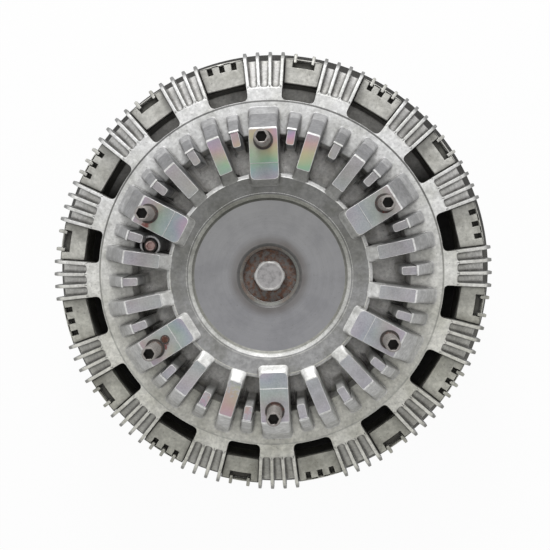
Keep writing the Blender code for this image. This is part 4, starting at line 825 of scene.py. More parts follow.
def edge_levels(low: float, high: float, low_edge: float, high_edge: float, steps: int = 3) -> list[Span]:
    """Levels through a plate whose two edges are rounded.

    Args:
        low: its underside.
        high: its top.
        low_edge: the radius of the lower edge.
        high_edge: the radius of the upper edge.
        steps: how many edges each round has.

    Returns:
        Each level, from the underside, with how far its outline moves in.
    """
    quarter = [math.radians(90 * i / steps) for i in range(steps + 1)]
    bottom = [(low + low_edge * (1 - math.sin(a)), low_edge * (1 - math.cos(a))) for a in reversed(quarter)]
    top = [(high - high_edge * (1 - math.sin(a)), high_edge * (1 - math.cos(a))) for a in quarter]
    return (bottom if low_edge else [(low, 0.0)]) + (top if high_edge else [(high, 0.0)])


class Shell:
    """Gathers closed forms and makes one mesh piece of them."""

    def __init__(self, *finishes: Finish) -> None:
        """Starts an empty shell.

        Args:
            finishes: the finishes of its slots, in order.
        """
        self.finishes = finishes
        self.points: list[Vector] = []
        self.faces: list[tuple[int, ...]] = []
        self.slots: list[int] = []

    def add(self, finish: Finish, *corners: int) -> None:
        """Adds a face with this finish between points."""
        self.faces.append(corners)
        self.slots.append(self.finishes.index(finish))

    def loft(self, rings: Sequence[Ring], finishes: Finish | Sequence[Finish],
             caps: tuple[Finish, Finish] | None = None, turns: Iterable[Matrix] = IN_PLACE) -> None:
        """Skins a stack of closed rings that have the same number of points.

        Args:
            rings: the rings in order.
            finishes: one finish for all bands, or one for each band between rings.
            caps: the finishes of the first and last ring's faces, or None for those of the bands.
            turns: where the form's copies go.
        """
        count = len(rings[0])
        bands = [finishes] * (len(rings) - 1) if isinstance(finishes, Finish) else finishes
        first, last = caps or (bands[0], bands[-1])
        for turn in turns:
            start = len(self.points)
            self.points += [turn @ point for ring in rings for point in ring]
            for i, finish in enumerate(bands):
                low, high = start + i * count, start + (i + 1) * count
                for k in range(count):
                    after = (k + 1) % count
                    self.add(finish, low + k, low + after, high + after, high + k)
            self.add(first, *range(start, start + count))
            self.add(last, *range(start + (len(rings) - 1) * count, start + len(rings) * count))

    def plate(self, outline: Outline, levels: Sequence[Span], finish: Finish, cap: Finish | None = None,
              turns: Iterable[Matrix] = IN_PLACE,
              stand: Callable[[float, float, float], Vector] = lying) -> None:
        """Adds a plate with rounded edges.

        Args:
            outline: its plan, anticlockwise.
            levels: its levels and how far the plan moves in at each.
            finish: the finish of its sides.
            cap: the finish of its top and underside, or None for that of its sides.
            turns: where its copies go.
            stand: puts a plan point and a level in space.
        """
        rings = [[stand(x, y, level) for x, y in inset(outline, move)] for level, move in levels]
        self.loft(rings, finish, (cap or finish, cap or finish), turns)

    def turn(self, corners: Sequence[Corner], finish: Finish, segments: int,
             flats: dict[int, Finish] | None = None, rounds: dict[int, Finish] | None = None, steps: int = 3,
             centre: Vector = ORIGIN) -> None:
        """Adds a turned form whose outline is a closed ring's section, or ends on the axis.

        Args:
            corners: radius, height and round of its corners.
            finish: the finish of its faces.
            segments: how many faces it has round the axis.
            flats: other finishes by the number of the corner that the flat follows.
            rounds: other finishes of rounds, by the corner's number.
            steps: how many edges each round has.
            centre: where its axis stands.
        """
        chosen = {**(flats or {}), **{-1 - corner: other for corner, other in (rounds or {}).items()}}
        section = tagged(corners, steps)
        start, count = len(self.points), len(section)
        for i in range(segments):
            spoke = polar(1.0, 360 * i / segments)
            self.points += [centre + spoke * r + Vector((0, 0, z)) for (r, z), _ in section]
            near, far = start + i * count, start + (i + 1) % segments * count
            for k, ((radius, _), flat) in enumerate(section):
                after = (k + 1) % count
                if max(radius, section[after][0][0]) > WELD_DISTANCE:
                    self.add(chosen.get(flat, finish), near + k, near + after, far + after, far + k)

    def mesh(self, name: str, sharp: float = SHARP_ANGLE) -> bpy.types.Mesh:
        """Makes the mesh of all that was gathered, its faces pointing out.

        Args:
            name: the mesh's name.
            sharp: the angle over which an edge stays sharp.

        Returns:
            The mesh.
        """
        mesh = bpy.data.meshes.new(name)
        mesh.from_pydata([tuple(p) for p in self.points], [], self.faces)
        mesh.polygons.foreach_set("material_index", self.slots)
        body = bmesh.new()
        body.from_mesh(mesh)
        bmesh.ops.remove_doubles(body, verts=body.verts, dist=WELD_DISTANCE)
        bmesh.ops.recalc_face_normals(body, faces=body.faces)
        body.to_mesh(mesh)
        body.free()
        for finish in self.finishes:
            mesh.materials.append(finish.material())
        mesh.shade_smooth()
        mesh.set_sharp_from_angle(angle=math.radians(sharp))
        return mesh

    def piece(self, name: str, sharp: float = SHARP_ANGLE) -> bpy.types.Object:
        """Makes the piece and puts it in the scene.

        Args:
            name: the piece's name.
            sharp: the angle over which an edge stays sharp.

        Returns:
            The new object.
        """
        thing = bpy.data.objects.new(name, self.mesh(name, sharp))
        bpy.context.scene.collection.objects.link(thing)
        return thing


def carve(thing: bpy.types.Object, tool: Shell) -> None:
    """Cuts a shell's forms out of a piece.

    Args:
        thing: the piece.
        tool: the forms, which use the piece's finishes in the same order.
    """
    cutter = tool.piece("cutter")
    modifier = thing.modifiers.new("cut", "BOOLEAN")
    modifier.operation, modifier.solver, modifier.object = "DIFFERENCE", "MANIFOLD", cutter
    cut = bpy.data.meshes.new_from_object(thing.evaluated_get(bpy.context.evaluated_depsgraph_get()))
    thing.modifiers.clear()
    old, thing.data = thing.data, cut
    for mesh in (old, cutter.data):
        bpy.data.meshes.remove(mesh)
    cut.shade_smooth()


def absorb(thing: bpy.types.Object, *shells: Shell) -> None:
    """Adds shells' forms to a piece that has the same finishes in the same order.

    Args:
        thing: the piece.
        shells: the forms.
    """
    body = bmesh.new()
    body.from_mesh(thing.data)
    for shell in shells:
        extra = shell.mesh("extra")
        body.from_mesh(extra)
        bpy.data.meshes.remove(extra)
    body.to_mesh(thing.data)
    body.free()
    thing.data.set_sharp_from_angle(angle=math.radians(SHARP_ANGLE))


def fit(thing: bpy.types.Object, body: Body, node: str) -> None:
    """Makes a piece ride on its body and stand for the solid that it replaces.

    Args:
        thing: the piece.
        body: the body it rides on.
        node: the solid that it stands for.
    """
    thing.modifiers.new("even shading", "WEIGHTED_NORMAL").keep_sharp = True
    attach(thing, body.value)
    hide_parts(node)
    LOG.info("%s: %d faces, on %s", thing.name, len(thing.data.polygons), body.value)


# Sub-assemblies


PAD_LEVEL = 0.1846
FIN_THICKNESS = 0.0023
FIN_TIP = 0.1525
SEGMENTS = 288
PAD_ANGLES = evenly(6)
LOCK_CENTRE = polar(0.0825, 286.3)
LOCK_TOP = PAD_LEVEL - 0.014


@dataclass(frozen=True)
class Upright:
    """A pad or a rib along +Y.

    Attributes:
        inner: its inner end.
        width: its width at the top.
        top: its height.
        nose: the radius of its inner corners.
        corner: the radius of its outer corners.
        cap: the finish of its top.
        foot: the radius of its outer end at the flange.
        outer_top: its outer end at the top where that isn't on the slope.
    """

    inner: float
    width: float
    top: float
    nose: float
    corner: float
    cap: Finish
    foot: float
    outer_top: float | None = None


@dataclass
class FanCasting:
    """The finned casting that carries the fan, with its pads, ribs, windows and fins."""

    centre_hole: float = 0.0178
    centre_chamfer: float = 0.0026
    inner_disc_radius: float = 0.0495
    hub_step_radius: float = 0.0535
    hub_radius: float = 0.0675
    pocket_radius: float = 0.0949
    step_radius: float = 0.1170
    valley_radius: float = 0.1270
    rim_radius: float = 0.1482
    inner_disc: float = 0.1766
    annulus: float = 0.1796
    flange: float = 0.1556
    flange_bottom: float = 0.1476
    valley_top: float = 0.1548
    pocket_floor: float = 0.1347
    friction_face: float = 0.1277
    friction_radius: float = 0.1010
    rim_top: float = 0.1326
    rim_bottom: float = 0.1271
    recess_radius: float = 0.0576
    hub_ceiling: float = 0.1636
    collar_radius: float = 0.0430
    collar_inner: float = 0.0363
    collar_bottom: float = 0.1473
    spacer_radius: float = 0.0270
    pad_width: float = 0.0188
    pad_inner: float = 0.0612
    pad_relief: float = 0.0742
    pad_outer_top: float = 0.0944
    edge_radius: float = 0.0970
    foot_radius: float = 0.1133
    short_foot_radius: float = 0.1105
    draft: float = 0.012
    long_rib_turn: float = 10.0
    short_rib_turn: float = 18.7
    fin_root_bottom: float = 0.1500
    fin_foot: Span = (0.1475, 0.1295)
    fin_fillet: float = 0.0011
    fin_fillet_bottom: float = 0.1440
    window_inner: float = 0.1186
    window_corner: float = 0.0054
    window_widths: Span = (13.4, 11.5)
    window_pitch: float = 22.5
    window_gap: float = 0.0011
    window_bottom: float = 0.1180
    window_top: float = 0.1620

    def shell(self) -> Shell:
        """An empty shell with the casting's finishes.

        Returns:
            The shell.
        """
        return Shell(CAST, FLANGE_CAST, FIN_SIDE, VALLEY_CAST, LINE_CAST, RIB_CAST, SLOPE_CAST, POCKET_CAST,
                     HUB_CAST, STEP_CAST, RAMP_CAST, LIP_CAST, EDGE_CAST, WINDOW_CAST, DISC_FACE, PAD_TOP,
                     RIB_TOP, RECESS_RUST, GROOVE_CAST)

    def window_angles(self, wide: bool) -> list[float]:
        """The middles of the wide or the narrow windows."""
        return evenly(8, -self.window_pitch / 2 + (0 if wide else self.window_pitch))

    def fin_angles(self) -> list[float]:
        """The angles of the long fins, four between each window and the next.

        Returns:
            The angles in degrees.
        """
        wide, narrow = self.window_widths
        angles = []
        for i in range(16):
            here, after = (wide, narrow) if i % 2 == 0 else (narrow, wide)
            middle = -self.window_pitch / 2 + self.window_pitch * i
            first, last = middle + here / 2, middle + self.window_pitch - after / 2
            angles += [first + (last - first) * k / 3 for k in range(4)]
        return angles

    def body(self) -> Shell:
        """The turned form of the casting.

        Returns:
            A shell that holds this form.
        """
        hole, chamfer, ceiling = self.centre_hole, self.centre_chamfer, self.hub_ceiling + 0.007
        step, disc, annulus = self.inner_disc_radius + 0.0010, self.inner_disc, self.annulus
        hub, pocket, bevel, valley = self.hub_radius, self.pocket_radius, self.step_radius, self.valley_radius
        floor, flange, top, under = self.pocket_floor, self.flange, self.valley_top, self.flange_bottom
        corners = [
            (hole + chamfer + 0.0008, disc, 0.0016), (step - 0.0004, disc, 0.0006),
            (step + 0.0012, disc + 0.0014, 0.0004), (step + 0.0016, disc + 0.0014, 0.0002),
            (step + 0.0030, annulus - 0.0003, 0.0006), (self.hub_step_radius + 0.0014, annulus, 0.0008),
            (hub - 0.0016, annulus, 0.0010), (hub + 0.0006, annulus - 0.0026, 0.0012),
            (hub + 0.0012, floor, 0.003), (pocket - 0.001, floor, 0.003),
            (pocket, flange, 0.0014), (bevel, flange, 0.0005), (bevel + 0.0010, top, 0.0004),
            (valley, top, 0.0012), (valley + 0.001, top - 0.005, 0.002),
            (self.rim_radius, self.rim_top, 0.0012), (self.rim_radius, self.rim_bottom, 0.001),
            (valley, under - 0.005, 0.001), (valley - 0.006, under, 0.001),
            (self.friction_radius + 0.003, under, 0.001), (self.friction_radius, self.friction_face, 0.0006),
            (self.recess_radius, self.friction_face, 0.0006), (self.recess_radius, self.hub_ceiling, 0.001),
            (self.collar_radius, self.hub_ceiling, 0.001), (self.collar_radius, self.collar_bottom, 0.0006),
            (self.collar_inner, self.collar_bottom, 0.0006), (self.collar_inner, self.hub_ceiling, 0.0),
            (self.spacer_radius, self.hub_ceiling, 0.0005), (self.spacer_radius, ceiling, 0.0005),
            (hole, ceiling, 0.0003), (hole, disc - chamfer, 0.0004),
            (hole + chamfer - 0.0006, disc - 0.0010, 0.0004)]
        # Several bands below carry painted light and shade: the groove, the step line, the bevels, the hub,
        # the lip, the pockets and the pale hub shoulder.
        flats = {0: DISC_FACE, 1: GROOVE_CAST, 2: GROOVE_CAST, 3: STEP_CAST, 4: HUB_CAST, 5: HUB_CAST,
                 6: EDGE_CAST, 7: POCKET_CAST, 8: POCKET_CAST, 9: POCKET_CAST, 10: FLANGE_CAST, 11: LINE_CAST,
                 13: VALLEY_CAST, 14: VALLEY_CAST, 29: POCKET_CAST, 30: RECESS_RUST, 31: LIP_CAST}
        rounds = {0: LIP_CAST, 1: GROOVE_CAST, 2: STEP_CAST, 3: STEP_CAST, 4: STEP_CAST,
                  11: LINE_CAST, 12: LINE_CAST, 30: LIP_CAST, 31: LIP_CAST}
        shell = self.shell()
        shell.turn(corners, CAST, SEGMENTS, flats, rounds, 4)
        return shell

    def beside(self, width: float, radius: float) -> float:
        """The angle from the middle of a window of this width to its side wall, at this radius."""
        return width / 2 - math.degrees(math.asin(self.window_gap / radius))

    def window_tool(self) -> Shell:
        """The forms that cut the windows.

        Returns:
            A shell that holds this form.
        """
        shell = self.shell()
        over = FIN_TIP + 0.006
        flange = self.flange
        levels = [(self.window_bottom, 0.0), (flange - 0.0016, 0.0), (flange - 0.0004, -0.0003),
                  (self.window_top, -0.0011)]
        for wide, width in zip((True, False), self.window_widths):
            far, near = self.beside(width, over), self.beside(width, self.window_inner)
            places = [(over, far), (self.window_inner, near),
                      *[(self.window_inner, width * share) for share in (0.18, 0.0, -0.18)],
                      (self.window_inner, -near), (over, -far)]
            plan = rounded([tuple(polar(*place).xy) for place in places],
                           [0, self.window_corner, 0, 0, 0, self.window_corner, 0], 6)
            shell.plate(plan[::-1], levels, WINDOW_CAST, None, turned_by(*self.window_angles(wide)))
        return shell

    def fins(self) -> Shell:
        """The long fins of the rim, with the rounds between them where they leave the flange.

        Returns:
            A shell that holds this form.
        """
        shell = self.shell()
        root, top, half = self.valley_radius - 0.003, self.valley_top - 0.0003, FIN_THICKNESS / 2
        outline = rounded([(root, top), (root, self.fin_root_bottom), self.fin_foot, (FIN_TIP, top - 0.0185),
                           (FIN_TIP, top - 0.012), (FIN_TIP - 0.0053, top - 0.004)],
                          [0.0, 0.0, 0.001, 0.0012, 0.002, 0.004], 4)
        turns = turned_by(*self.fin_angles())
        shell.plate(outline, edge_levels(-half, half, 0.0005, 0.0005), CAST, FIN_SIDE, turns, upended)
        end, reach = self.valley_radius + 0.0003, self.fin_fillet
        quarter = [math.radians(a) for a in (0, 22.5, 45, 67.5, 90)]
        curve = [(half + reach * (1 - math.sin(a)), end + reach * (1 - math.cos(a))) for a in quarter]
        plan = [(0.0, end - 0.0015), (half + reach, end - 0.0015)] + curve + [(0.0, end + reach)]
        mirrored = [(-x, y) for x, y in reversed(plan)]
        levels = [(self.fin_fillet_bottom, 0.0), (self.valley_top - 0.0006, 0.0),
                  (self.valley_top - 0.0002, 0.0003)]
        for side, left_out in ((plan, 3), (mirrored, 0)):
            shell.plate(side, levels, CAST, None, [turn for i, turn in enumerate(turns) if i % 4 != left_out])
        return shell

    def cone(self, height: float, foot: float) -> float:
        """The radius of an upright's sloping outer end at this height, for its radius at the flange."""
        share = (PAD_LEVEL - height) / (PAD_LEVEL - self.flange)
        return self.edge_radius + share * (foot - self.edge_radius)

    def level(self, ends: Span, width: float, height: float, nose: float, corner: float,
              flare: float = 0.0) -> Ring:
        """One level of a pad or a rib along +Y.

        Args:
            ends: its inner and outer end.
            width: its width.
            height: the level's height.
            nose: the radius of its inner corners.
            corner: the radius of its outer corners.
            flare: how far its sides spread out beyond the pocket.

        Returns:
            The level's points.
        """
        half, (inner, outer) = width / 2, ends
        plan = rounded([(-half, inner), (half, inner), (half, outer), (-half, outer)],
                       [nose, nose, corner, corner], 6)
        ring = []
        for x, y in plan:
            spread = flare * min(1.0, max(0.0, (y - self.pocket_radius + 0.001) / 0.003))
            x += math.copysign(spread, x)
            bend = y * y / outer - math.sqrt(max(y * y - x * x, 0)) * y / outer
            ring.append(Vector((x, y - bend + (spread if y > outer - corner else 0.0), height)))
        return ring

    def upright(self, shell: Shell, form: Upright, turns: Sequence[Matrix]) -> None:
        """Adds a pad or a rib, and its copies.

        Args:
            shell: the shell it goes to.
            form: its form.
            turns: where its copies go.
        """
        inner, width, top, nose, corner = form.inner, form.width, form.top, form.nose, form.corner
        end = form.outer_top or self.cone(top, form.foot)
        lip, limit, side = (0.0, end, RIB_CAST) if form.outer_top else (0.0010, 1.0, SLOPE_CAST)
        edge = 0.0003
        rings: list[Ring] = []
        # The top edges are pale for wear and painted glints; the sides below carry painted shade.
        bands = [EDGE_CAST, EDGE_CAST, side]
        for drop, move, back in ((0.0, edge, lip), (edge * 0.3, edge * 0.35, lip * 0.3),
                                 (edge, 0.0, -lip * 0.25)):
            ends = inner + move, end - back
            rings.append(self.level(ends, width - 2 * move, top - drop, nose, corner * 0.35))
        flange = self.flange
        for height, flare, finish in (
                (top - 0.0018, 0.0, SLOPE_CAST), (flange + 0.0100, 0.0, SLOPE_CAST),
                (flange + 0.0088, 0.0, RIB_CAST), (flange + 0.0014, 0.0002, RIB_CAST),
                (flange + 0.0004, 0.0005, RIB_CAST), (flange - 0.0002, 0.0009, RIB_CAST)):
            outer = min(self.cone(height, form.foot), limit) - 0.0002
            growing = corner * (0.4 + 0.6 * (top - height) / (top - flange))
            draft = (top - height) * self.draft
            rings.append(self.level((inner - draft, outer), width + 2 * draft, height, nose, growing, flare))
            bands.append(finish)
        for height, spread in ((flange - 0.0016, 0.0), (self.pocket_floor + 0.003, 0.0),
                               (self.pocket_floor + 0.001, 0.0008), (self.pocket_floor - 0.0004, 0.003)):
            draft = (top - height) * self.draft + spread
            ends = inner - draft, self.pocket_radius + 0.001
            rings.append(self.level(ends, width + 2 * draft, height, nose, 0.0002))
            bands.append(POCKET_CAST)
        shell.loft(rings, bands[:-1], (form.cap, POCKET_CAST), turns)

    def ramp(self, shell: Shell, form: Upright, reach: float, turns: Sequence[Matrix]) -> None:
        """Adds the sloping inner end of a pad or a rib, which runs out on the hub.

        Args:
            shell: the shell it goes to.
            form: the upright, whose inner end is where the slope starts at the top.
            reach: how far the slope runs towards the axis.
            turns: where its copies go.
        """
        bottom = self.annulus - 0.0004
        rings = []
        for share in (0.0, 0.10, 0.35, 0.65, 0.90, 1.0):
            run = reach * (share if share < 0.9 else share + (share - 0.9) * 1.5)
            widen = 0.0010 * share ** 3 - (0.0004 if share == 0.0 else 0.0)
            height = form.top - (form.top - bottom) * (share - 0.06 * math.sin(math.pi * share))
            ends = form.inner - run, form.inner + 0.004
            rings.append(self.level(ends, form.width + 2 * widen, height, form.nose, 0.0004))
        shell.loft(rings, RAMP_CAST, None, turns)

    def uprights(self) -> Shell:
        """The stud pads and the ribs between them.

        Returns:
            A shell that holds this form.
        """
        shell = self.shell()
        middles = evenly(6, 30)
        pads = turned_by(*PAD_ANGLES)
        long_turn, short_turn = self.long_rib_turn, self.short_rib_turn
        long_ribs = turned_by(*(middle + side for middle in middles for side in (-long_turn, long_turn)))
        short_ribs = turned_by(*(middle + side for middle in middles
                                 for side in (-short_turn, 0.0, short_turn)))
        relief, foot, short_foot = PAD_LEVEL - 0.001, self.foot_radius, self.short_foot_radius
        pad = Upright(inner=self.pad_inner + 0.0022, width=self.pad_width, top=relief, nose=0.0042,
                      corner=0.003, cap=PAD_TOP, foot=foot, outer_top=self.pad_outer_top)
        pad_end = Upright(inner=self.pad_relief, width=self.pad_width, top=relief + 0.0005, nose=0.0004,
                          corner=0.003, cap=PAD_TOP, foot=foot)
        rib = Upright(inner=0.0725, width=0.0090, top=PAD_LEVEL, nose=0.0012, corner=0.0028, cap=RIB_TOP,
                      foot=foot)
        short_rib = Upright(inner=0.0962, width=0.0067, top=PAD_LEVEL - 0.0008, nose=0.0003, corner=0.0022,
                            cap=RIB_CAST, foot=short_foot)
        short_step = Upright(inner=0.0866, width=0.0054, top=PAD_LEVEL - 0.0014, nose=0.0016, corner=0.001,
                             cap=RIB_TOP, foot=short_foot, outer_top=0.0966)
        pad_start = replace(pad, inner=self.pad_inner + 0.0024, top=relief - 0.0002, nose=0.0055)
        rib_start = replace(rib, inner=0.0728, width=0.0088, top=rib.top - 0.0003, nose=0.0030)
        self.upright(shell, pad, pads)
        self.upright(shell, pad_end, pads)
        self.ramp(shell, pad_start, 0.0046, pads)
        self.upright(shell, rib, long_ribs)
        self.ramp(shell, rib_start, 0.0078, long_ribs)
        self.upright(shell, short_rib, short_ribs)
        self.upright(shell, short_step, short_ribs)
        return shell

    def lock_boss(self) -> Shell:
        """The boss of the lock-up screw, in a pocket beside a pad.

        Returns:
            A shell that holds this form.
        """
        shell = self.shell()
        low = self.pocket_floor - 0.001
        corners = [(0.0054, LOCK_TOP, 0.0006), (0.0070, LOCK_TOP, 0.0009), (0.0078, low, 0), (0.0054, low, 0)]
        shell.turn(corners, RIB_CAST, 40, {0: EDGE_CAST}, centre=LOCK_CENTRE)
        return shell

    def build(self) -> None:
        """Makes the casting."""
        thing = self.body().piece("fan_casting")
        carve(thing, self.window_tool())
        absorb(thing, self.fins(), self.uprights(), self.lock_boss())
        fit(thing, Body.FAN, "fan_disc")


@dataclass
class RearRing:
    """The ring behind the fan casting: panels that show in its windows, short fins and a skirt."""

    inner_radius: float = 0.1310
    rim_radius: float = 0.1490
    skirt_radius: float = 0.1570
    skirt_wall: float = 0.0060
    skirt_bottom: float = 0.0976
    skirt_bend: float = 0.1040
    top: float = 0.1268
    bottom: float = 0.1188
    panel_top: float = 0.1416
    panel_gap: float = 0.0015
    slot_inner: float = 0.1428
    slot_outer: float = 0.1480
    inner_top: float = 0.1394
    narrow_fin_turn: float = 2.4
    lug_width: float = 0.0140
    lug_inner: float = 0.1090
    lug_bottom: float = 0.1191
    lug_outer: float = 0.1340
    lug_slope: tuple[Span, ...] = ((0.1340, 0.1362), (0.1270, 0.1416), (0.1200, 0.1473))
    casting: FanCasting = field(default_factory=FanCasting)

    def shell(self) -> Shell:
        """An empty shell with the ring's finishes."""
        return Shell(RING_CAST, FIN_SIDE, SKIRT_CAST, WINDOW_CAST)

    def cell(self, radii: Span, first_side: Span, last_side: Span) -> Outline:
        """The plan of a block between two radii and two sides.

        Args:
            radii: its inner and outer radius.
            first_side: an angle, and how far the block ends short of it.
            last_side: the same at the other side.

        Returns:
            The plan, anticlockwise.
        """
        inner, outer = radii
        (first, last), (far_first, far_last) = (
            (first_side[0] + math.degrees(math.asin(first_side[1] / radius)),
             last_side[0] - math.degrees(math.asin(last_side[1] / radius))) for radius in radii)
        places = [(inner, first), (inner, last)]
        places += [(outer, far_last + (far_first - far_last) * k / 4) for k in range(5)]
        return [tuple(polar(*place).xy) for place in places]

    def panels(self) -> Shell:
        """The raised panels, with their slots and recesses.

        Returns:
            A shell that holds this form.
        """
        shell = self.shell()
        inner, outer = self.inner_radius + 0.0010, self.rim_radius - 0.0003
        step = self.casting.window_widths[0] / 4
        for wide, width in zip((True, False), self.casting.window_widths):
            turns = turned_by(*self.casting.window_angles(wide))
            cuts = [(-step, 0.0017), (0.0, 0.0017), (step, 0.0017)] if wide else [(0.0, 0.0075)]
            floor_level = self.panel_top - (0.006 if wide else 0.004)
            first, last = (-width / 2, self.panel_gap), (width / 2, self.panel_gap)
            floor = self.cell((inner, outer - 0.0004), first, last)
            floor_levels = [(self.bottom + 0.003, 0.0), (floor_level, 0.0)]
            # The floors in the slots are dark as painted shade.
            shell.plate(floor, floor_levels, RING_CAST, WINDOW_CAST, turns)
            walls = [first, *[side for cut in cuts for side in (cut, cut)], last]
            blocks = [self.cell((inner, self.slot_inner), first, last),
                      self.cell((self.slot_outer, outer), first, last)]
            blocks += [self.cell((self.slot_inner - 0.0006, outer), *walls[i:i + 2])
                       for i in range(0, len(walls), 2)]
            rim = edge_levels(self.panel_top, self.panel_top, 0.0, 0.0005)[1:]
            levels = [(floor_level - 0.001, 0.0), *rim]
            for block in blocks:
                plan = rounded(block, [0.0004, 0.0004, 0.0004, 0, 0, 0, 0.0004], 2)
                shell.plate(plan, levels, RING_CAST, None, turns)
        return shell

    def skirt(self) -> Shell:
        """The ring and its flared skirt.

        Returns:
            A shell that holds this form.
        """
        shell = self.shell()
        inner, rim, edge, wall = self.inner_radius, self.rim_radius, self.skirt_radius, self.skirt_wall
        corners = [(inner, self.inner_top, 0.0008), (rim, self.top, 0.001), (edge, self.skirt_bend, 0.002),
                   (edge, self.skirt_bottom, 0.0012), (edge - wall, self.skirt_bottom, 0.0008),
                   (rim - wall, self.bottom, 0.002), (inner, self.bottom, 0.0006)]
        # Painted shade on the skirt and on its underside.
        shell.turn(corners, SKIRT_CAST, SEGMENTS, {6: WINDOW_CAST})
        return shell

    def stubs(self) -> Shell:
        """The short fins on the panels.

        Returns:
            A shell that holds this form.
        """
        shell = self.shell()
        half, root, low = FIN_THICKNESS / 2, self.slot_inner + 0.003, self.panel_top - 0.007
        outline = rounded([(root, self.panel_top + 0.0012), (root, low), (FIN_TIP, low),
                           (FIN_TIP, self.panel_top - 0.0012)], [0.0006, 0, 0.001, 0.0016], 3)
        step = self.casting.window_widths[0] / 4
        sides = -self.narrow_fin_turn, self.narrow_fin_turn
        angles = [middle + side for middle in self.casting.window_angles(False) for side in sides]
        angles += [middle + i * step for middle in self.casting.window_angles(True)[1::2] for i in (-1, 0, 1)]
        levels = edge_levels(-half, half, 0.0006, 0.0006)
        shell.plate(outline, levels, RING_CAST, FIN_SIDE, turned_by(*angles), upended)
        return shell

    def lugs(self) -> Shell:
        """The lugs that reach in under the flange to the eddy ring's screws.

        Returns:
            A shell that holds this form.
        """
        shell = self.shell()
        half = self.lug_width / 2
        outline = rounded([(self.lug_inner, self.lug_bottom), (self.lug_outer, self.lug_bottom),
                           *self.lug_slope, (self.lug_inner, self.lug_slope[-1][1])], 0.0006, 2)
        middle = (self.casting.window_widths[0] - self.casting.window_widths[1]) / 4
        levels = edge_levels(-half, half, 0.0012, 0.0012, 2)
        shell.plate(outline, levels, RING_CAST, None, turned_by(*evenly(4, middle)), upended)
        return shell

    def build(self) -> None:
        """Makes the ring."""
        thing = self.panels().piece("rear_ring_casting")
        absorb(thing, self.skirt(), self.stubs(), self.lugs())
        fit(thing, Body.FAN, "rear_ring")


